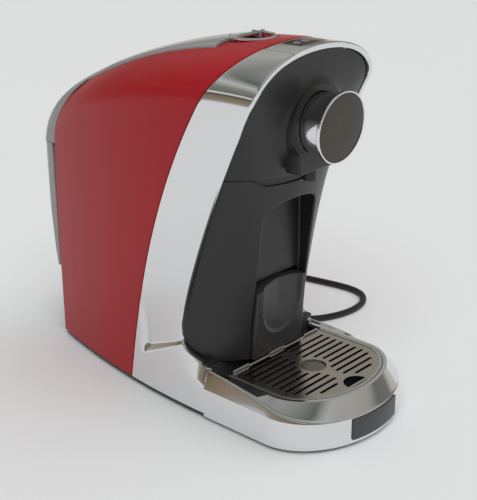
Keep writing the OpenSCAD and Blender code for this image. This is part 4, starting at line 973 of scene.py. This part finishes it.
def addBin(s):
    # the face: upright strips bent round at both sides, with a half-oval scoop pressed into its top
    x = np.sin(np.linspace(-1, 1, 161)*np.pi/2)[None, :]*s["halfWidth"]
    share = np.linspace(0, 1, 150)[:, None]
    top = s["topZ"] - s["archRise"]*(x/s["halfWidth"])**2
    z = mix(s["lowZ"], top, share)
    edge = s["halfWidth"] - np.abs(x)
    turn = unit(1 - edge/s["faceRadius"])
    y = columnMid(z) + s["face"] + s["faceRadius"]*(1 - np.sqrt(1 - turn**2*0.98))
    straight = s["scoopTop"] - s["scoopStraight"]
    oval = np.hypot(x/s["scoopHalf"], np.maximum(0, straight - z)/(straight - s["scoopLow"]))
    inside = unit(1 - oval)
    scoop = np.minimum(inside*9, 1)*0.25 + np.sqrt(inside)*0.75
    y = y + s["scoopDepth"]*scoop*mix(0.35, 1, unit((z - s["scoopLow"])/50))
    face = slab(spots(x, y, z), spots(x, columnMid(s["lowZ"]) + 14, z))
    half, front, low, wall = s["tubHalf"], s["tubFront"], s["lowZ"], s["wall"]
    box = makeMesh("capsuleDrawer", blockLoop((-half, front, low), (half, s["back"], s["tubTop"]), 2))
    cut(box, blockLoop((wall - half, front + 3, low + wall), (half - wall, s["back"] - wall, 130), 2))
    plate = makeMesh("drawerFace", face, smooth=50)
    dress(plate, "bin", "black_satin", ("capsule_bin",), binFinish)
    dress(box, "bin", "black_satin", material=binFinish)


traySetup = {
    "half": 79, "backY": -60.5, "bendY": -130, "nose": 58.5, "wall": 27.5, "ridge": 46,
    "border": 15, "gridZ": 43, "footZ": 3.5,
    "labelHalf": 30, "labelLow": 7, "labelHigh": 26.5, "labelThick": 1.5,
}


def trayLine(count=150):
    # the tray's outline from its right back corner round the nose, and the inward direction at each point
    s = traySetup
    y = np.linspace(s["backY"], s["bendY"], 40)[:-1]
    a = np.linspace(0, np.pi, count)
    right = spots(s["half"], y)
    nose = spots(s["half"]*np.cos(a), s["bendY"] - s["nose"]*np.sin(a))
    inwardNose = spots(-np.cos(a)/s["half"], np.sin(a)/s["nose"])
    inwardNose /= np.linalg.norm(inwardNose, axis=1, keepdims=True)
    inward = spots(-1, 0*y)
    line = np.concatenate([right, nose, (right*[-1, 1])[::-1]])
    return line, np.concatenate([inward, inwardNose, inward[::-1]*[-1, 1]])


def trayPlace(line, inward, depth, z):
    spot = line[:, None] + inward[:, None]*depth[..., None]
    return np.concatenate([spot, np.broadcast_to(z, spot.shape[:2])[..., None]], -1)


def addTray(s):
    line, inward = trayLine()
    nose = s["bendY"] - s["nose"]
    back = unit((line[:, 1] - nose)/(s["backY"] - nose))
    wall = s["wall"] + 2.5*back
    ridge = s["wall"] + (s["ridge"] - s["wall"])*np.sin(back*np.pi/2)**1.5
    lean = 0.4 + 8*back**1.4
    b, g, foot = s["border"], s["gridZ"], s["footZ"]
    depths = spots(0, 0, lean, b - 3.2, b, b, b - 4, 3.2, 3.2)
    heights = spots(foot, wall, ridge, g + 0.4, g + 0.3, g - 3, g - 4, wall - 3, foot)
    radius = np.array([0.6, 1.2, 2.2, 0.5, 0.4, 0.8, 0.8, 0.8, 0.6])
    profile = roundLoop(spots(depths, heights), radius, 7)
    collar = swept(trayPlace(line, inward, profile[..., 0], profile[..., 1]))
    piece("trayCollar", collar, "tray", "mirror_chrome", ("tray_collar",))
    dress(copyOf("drip_tray", "dripTub", 0.5), "tray", "charcoal", ("drip_tray",))

    # the plate wraps the nose: a rounded bar profile carried along the outline's middle stretch
    line, inward = trayLine(1200)
    half, corner, out = s["labelHalf"], 1.4, -s["labelThick"]
    middle = (np.abs(line[:, 0]) <= half) & (line[:, 1] < s["bendY"])
    line, inward = line[middle][::6], inward[middle][::6]
    past = unit((np.abs(line[:, 0]) - half + corner)/corner)
    ends = corner*(1 - np.sqrt(1 - past**2))
    low, high = s["labelLow"] + ends, s["labelHigh"] - ends
    depths = spots(0*low, out, out, 0)
    heights = spots(low, low, high, high)
    profile = roundLoop(spots(depths, heights), np.array([0.1, 0.6, 0.6, 0.1]), 5)
    plate = swept(trayPlace(line, inward, profile[..., 0], profile[..., 1]))
    piece("barePlate", plate, "tray", "charcoal", ("label_plate",))


gridSetup = {
    "top": 43, "thick": 1.2, "edge": 15.4, "backY": -76, "hole": (-118.5, 11.5), "notch": (-166.5, 12),
    "slotWidth": 3, "pitch": 7.6, "firstSlot": -88, "slotInset": 25, "slotReach": 57, "middleBar": 5.0,
    "notchBands": ((0.5, 12), (-4.6, -2.2)), "rimWidth": 3, "padRadius": 12.5, "padTall": 0.9,
    "railHalf": 58, "tabHalf": 10, "tabs": (-48, 0, 48),
}


def slotEnds(y, s, keep):
    # how far a slot runs sideways: from past the round hole or the notch out to the plate's edge
    tray, inner = traySetup, s["slotInset"]
    reach = tray["half"] - inner
    if y < tray["bendY"]:
        reach *= math.sqrt(max(0, 1 - ((y - tray["bendY"])/(tray["nose"] - inner))**2))
    start = s["middleBar"]
    for centre, radius in keep:
        if abs(y - centre) < radius:
            start = max(start, math.sqrt(radius**2 - (y - centre)**2))
    return start, min(reach, s["slotReach"])


def addGrid(s):
    line, inward = trayLine()
    keep = line[:, 1] <= s["backY"] + 0.5
    edge = trayPlace(line[keep], inward[keep], np.full((int(keep.sum()), 1), s["edge"]), 0)[:, 0, :2]
    edge[:, 1] = np.minimum(edge[:, 1], s["backY"])
    # the plate's outline at its underside, near its top and, drawn in a little, at its top
    levels = [(s["top"] - s["thick"], 1), (s["top"] - 0.3, 1), (s["top"], 0.995)]
    centre = np.array([0, -125.0])
    plate = makeMesh("dripGrid", swept(np.array(
        [np.insert(centre + (edge - centre)*share, 2, z, axis=1) for z, share in levels])))
    tools = []
    holes = [(s["hole"][0], s["hole"][1] + 4), (s["notch"][0], s["notch"][1] + 5)]
    rows = int((s["backY"] - 14 - s["notch"][0])//s["pitch"]) + 1
    for k in range(rows):
        y = s["firstSlot"] - k*s["pitch"] + s["slotWidth"]/2
        a, b = slotEnds(y, s, holes)
        if b - a > 6:
            for side in (-1, 1):
                tools += slotTool(side*a, side*b, y, s["slotWidth"])
    cut(plate, tools)
    middle, under = (0, s["hole"][0], 0), s["top"] - s["thick"]
    cut(plate, ringAt(0, s["hole"][1], 30, 60, 0.1, middle, steps=72))
    cut(plate, *[notchTool(s["notch"], band) for band in s["notchBands"]])
    soften(plate, 0.18, 2, 60)
    y, half, tab = s["backY"], s["railHalf"], s["tabHalf"]
    rail = blockLoop((-half, y - 1.2, under), (half, y, s["top"] + 1), 0.4)
    tabs = [blockLoop((x - tab, y - 1.2, under + 0.2), (x + tab, y, s["top"] + 2.6), 0.5) for x in s["tabs"]]
    piece("gridRail", sum(tabs, rail), "grid", "steel", material=pinSteel)
    # a bead round the plate's edge, and the round pad that closes the middle just below its surface, its
    # steel darkened as painted shade
    a, b, low, high = s["edge"] + 0.1, s["edge"] + 0.1 + s["rimWidth"], s["top"] - 0.4, s["top"] + 0.5
    profile = rounded([(a, low), (a, high), (b, high), (b, low)], 0.4)
    one = np.ones((int(keep.sum()), 1))
    edge = trayPlace(line[keep], inward[keep], one*profile[:, 0], one*profile[:, 1])
    piece("gridBead", swept(edge), "grid", "steel", material=pinSteel)
    pad = ringAt(0, s["padRadius"], under - s["padTall"], under, 0.2, middle, steps=72)
    piece("gridPad", pad, "grid", "steel", material=padSteelPaintedShade)
    dress(plate, "grid", "steel", ("drip_grid",), gridFinish)


def slotTool(x0, x1, y, width):
    # an upright prism with rounded ends
    a = np.linspace(-np.pi/2, np.pi/2, 9)
    r = width/2
    low, high = min(x0, x1) + r, max(x0, x1) - r
    right = spots(high + r*np.cos(a), y + r*np.sin(a))
    left = spots(low - r*np.cos(a), y - r*np.sin(a))
    return uprightTool(np.concatenate([right, left]))


def notchTool(notch, band):
    # the part of a disc that lies between two lines across it
    y0, radius = notch
    low, high = band
    a = math.asin(max(-1, low/radius))
    b = math.asin(min(1, high/radius))
    turn = np.linspace(a, b, 40)
    right = spots(radius*np.cos(turn) + 0.01, y0 + radius*np.sin(turn))
    return uprightTool(np.concatenate([right, (right*[-1, 1])[::-1]]))


lidSetup = {
    "thick": 2.4, "half": 36, "gap": 0.6, "frontY": -39, "proud": 2.25, "tailProud": 0.9, "edgeProud": 0.5,
    "bendShare": 0.65, "bendY": 132, "kneeY": 183, "endY": 190, "endZ": 201.5,   # along the middle
    "edgeShare": 0.45, "edgeY": 98, "edgeV": (0.86, 0.572),                      # along both sides
    "earX": 14, "earHalf": 1, "earY": (-45.5, -35), "earZ": (318.9, 324.85),
}


def lidMid(u):
    # along the middle: the crown line, then a curve down to the tank that starts in the crown's own slope
    s, y0, bend = lidSetup, lidSetup["bendY"], lidSetup["bendShare"]
    y = mix(s["frontY"], y0, np.minimum(1, u/bend))
    t = np.maximum(0, (u - bend)/(1 - bend))[..., None]
    slope = -2*bodySetup["crownFall"]*(y0 - bodySetup["crownY"])
    start = np.array([y0, crownZ(y0) + s["tailProud"]])
    knee = np.array([s["kneeY"], crownZ(y0) + slope*(s["kneeY"] - y0)])
    end = np.array([s["endY"], s["endZ"]])
    curve = (1 - t)**2*start + 2*t*(1 - t)*knee + t**2*end
    crown = spots(y, crownZ(y) + mix(s["proud"], s["tailProud"], u/bend))
    return np.where((u < bend)[..., None], crown, curve)


def lidEdge(u):
    s, first, gap = lidSetup, lidSetup["edgeShare"], lidSetup["gap"]
    t = np.maximum(0, (u - first)/(1 - first))
    y = mix(s["frontY"], s["edgeY"], np.minimum(1, u/first))
    v = mix(*s["edgeV"], t)
    x, back, z = np.moveaxis(section(v, shellEdgeY(v)), -1, 0)
    before = spots(s["half"] - gap, y, deckZ(s["half"], y) + s["edgeProud"])
    after = spots(np.maximum(s["half"], x) - gap, back + gap, np.maximum(z, s["endZ"]))
    return np.where((u < first)[..., None], before, after)


def lidSurface(u, w, inset):
    m, e = lidMid(u), lidEdge(u)
    bend = lidSetup["bendShare"]
    tail = np.maximum(0, u - bend)/(1 - bend)
    side = unit((u - lidSetup["edgeShare"])/0.1)
    c = np.maximum(0, np.cos(w*np.pi/2))**mix(0.85, 0.5, tail)
    s = np.sign(w)*np.abs(np.sin(w*np.pi/2))**mix(1, 0.75, tail)
    return spots((e[..., 0] - inset*np.maximum(tail, side))*s,
        mix(e[..., 1], m[..., 0], c) - inset*tail*c,
        mix(e[..., 2], m[..., 1], c) - inset*(1 - tail)*(1 - 0.5*tail)*mix(1, c, side))


def addTank(s):
    u = np.linspace(0, 1, 141)[:, None]
    w = np.linspace(-1, 1, 81)[None, :]
    u, w = u + 0*w, w + 0*u
    shell = slab(lidSurface(u, w, 0), lidSurface(u, w, s["thick"]))
    lid = makeMesh("tankLid", shell, smooth=50)
    soften(lid, 0.35, 2, 60)
    (y0, y1), (z0, z1), half = s["earY"], s["earZ"], s["earHalf"]
    ears = (blockLoop((x - half, y0, z0), (x + half, y1, z1), 0.8, 0) for x in (-s["earX"], s["earX"]))
    piece("lidEars", sum(ears, []), "lid", "smoky_tank")
    dress(lid, "lid", "smoky_tank", ("tank_lid",))
    dress(copyOf("tank_body", "tankTub", 0.5), "tank", "smoky_tank", ("tank_body",))


bailSetup = {
    "pivot": (-43, 322.894), "radius": 18, "rod": 1.6, "reach": 6,
    "bore": 1.25, "bossRadius": 2.5, "bossHalf": 1.8,
}


def addBail(s):
    (y0, z0), r, half = s["pivot"], s["radius"], s["bossHalf"]
    a = np.linspace(np.pi, 2*np.pi, 61)
    ring = spots(r*np.cos(a), y0 - s["reach"] + r*np.sin(a), z0)
    legs = np.array([(-r, y0 - out, z0) for out in (0.5, 2, 4)])
    path = np.concatenate([legs, ring, (legs*[-1, 1, 1])[::-1]])
    bosses = (ringAt(s["bore"], s["bossRadius"], x - half, x + half, 0.4, (0, y0, z0), "x", 32)
        for x in (-r, r))
    wire = sweepTube(path, np.full(len(path), s["rod"]), 20)
    piece("liftBail", sum(bosses, wire), "bail", "mirror_chrome", ("tank_bail",))


binFinish = roughPlastic("drawerPlastic", (46, 46, 48), 0.36)
addBin(binSetup)
addTray(traySetup)
addGrid(gridSetup)
addTank(lidSetup)
addBail(bailSetup)
print("bin, tray, grid, tank and bail made")


# What the CAD pieces keep: their shape, with a finish of their own.
keptGroups = {
    "black_satin": ("rear_panel", "capsule_funnel", "lever_liner", "deck_panel", "base_plate"),
    "charcoal": ("chassis",),
    "steel": ("lever_pin", "pin_clips", "base_screws", "board_screws", "bail_pin",
        "tank_valve_spring", "thermostats", "lever_cams"),
    "cast_aluminium": ("boiler", "brew_piston", "capsule_holder", "brew_frame"),
    "rubber_black": ("feet", "pump_mounts", "tank_inlet_seal", "piston_seal"),
    "white_plastic": ("tank_valve", "valve_seat", "flow_meter", "feed_hose", "pressure_hose", "brew_hose"),
    "pump_grey": ("pump",),
    "circuit_green": ("power_board", "button_board"),
}
for slotName, group in keptGroups.items():
    for name in group:
        kept = nodes[name].data.materials
        kept.clear()
        kept.append(materials[slotName])

dress(copyOf("switch_housing", "switchFrame", 0.5), "housing", "black_satin", ("switch_housing",))
dress(copyOf("power_switch", "rockerCap", 0.7, 3), "rocker", "black_gloss", ("power_switch",))
print("inside pieces finished")


roomSetup = {
    "floor": (0.80, 0.81, 0.83), "floorHalf": 40, "sky": 0.75, "haze": (0.94, 0.96, 0.97),
    "suns": [   # direction towards the light, strength, width in degrees
        ((-0.55, -0.50, 1.0), 1.65, 50),
        ((0.60, -0.45, 1.0), 0.85, 60),
    ],
    "leftBands": [   # height of the direction, colour: pale cloth, a desk, a lamp strip, a dim ceiling
        (0.0, (0.66, 0.67, 0.69)), (0.03, (0.60, 0.60, 0.60)), (0.05, (0.42, 0.38, 0.34)),
        (0.12, (0.34, 0.28, 0.21)), (0.25, (0.27, 0.21, 0.13)), (0.30, (0.07, 0.065, 0.05)),
        (0.36, (0.98, 1.0, 1.0)),
        (0.40, (0.20, 0.21, 0.18)), (0.54, (0.30, 0.31, 0.27)), (0.64, (0.66, 0.67, 0.65)),
        (0.72, (0.17, 0.18, 0.15)), (1.0, (0.60, 0.60, 0.58)),
    ],
    "rightBands": [
        (0.0, (0.72, 0.70, 0.66)), (0.09, (0.66, 0.62, 0.55)), (0.16, (0.24, 0.23, 0.20)),
        (0.30, (0.20, 0.20, 0.18)), (0.38, (0.46, 0.44, 0.40)), (0.60, (0.55, 0.54, 0.51)),
        (0.75, (0.36, 0.36, 0.34)), (1.0, (0.60, 0.60, 0.58)),
    ],
}


def addRoom(s):
    half = s["floorHalf"]/mm
    cloth = Finish("paleFloor", Roughness=0.7)
    tone = cloth.noise(3, 2)
    cloth.put("Base_Color", cloth.blend(tone.clamped(), tuple(c*0.985 for c in s["floor"]), s["floor"]))
    floor = makeMesh("floor", [grid(np.array([[(-half, -half, 0), (half, -half, 0)],
        [(-half, half, 0), (half, half, 0)]], float))], outward=False)
    turnTowards(floor, (0, 0, 1))
    floor.data.materials.append(cloth.material)

    for number, (towards, strength, width) in enumerate(s["suns"]):
        data = bpy.data.lights.new(f"softSun{number}", "SUN")
        data.energy = strength
        data.angle = math.radians(width)
        lamp = link(bpy.data.objects.new(data.name, data))
        lamp.rotation_euler = (-Vector(towards)).to_track_quat("-Z", "Y").to_euler()
        lamp.visible_glossy = False

    world = bpy.data.worlds.new("studio")
    bpy.context.scene.world = world
    world.use_nodes = True
    room = Graph(world.node_tree)
    spot = room.add("ShaderNodeTexCoord").outputs["Generated"]
    split = room.add("ShaderNodeSeparateXYZ", None, {0: spot}).outputs
    left, right = (room.add("ShaderNodeValToRGB", {"stops": s[side]}, {0: split["Z"]}).outputs[0]
        for side in ("leftBands", "rightBands"))
    side = room.add("ShaderNodeMapRange", None, {0: split["X"], 1: -0.25, 2: 0.25}).outputs[0]
    colour = room.add("ShaderNodeMix", {"data_type": "RGBA"}, {0: side, 6: left, 7: right}).outputs[2]
    # what the camera sees past the floor's edge is as plain as the floor itself
    seen = room.add("ShaderNodeLightPath").outputs["Is Camera Ray"]
    plain = room.add("ShaderNodeMix", {"data_type": "RGBA"}, {0: seen, 6: colour, 7: (*s["haze"], 1)})
    room.feed(room.nodes["Background"].inputs[0], plain.outputs[2])
    room.feed(room.nodes["Background"].inputs[1], s["sky"])
    bpy.context.scene.view_settings.view_transform = "Standard"


addRoom(roomSetup)
print("floor and light made")
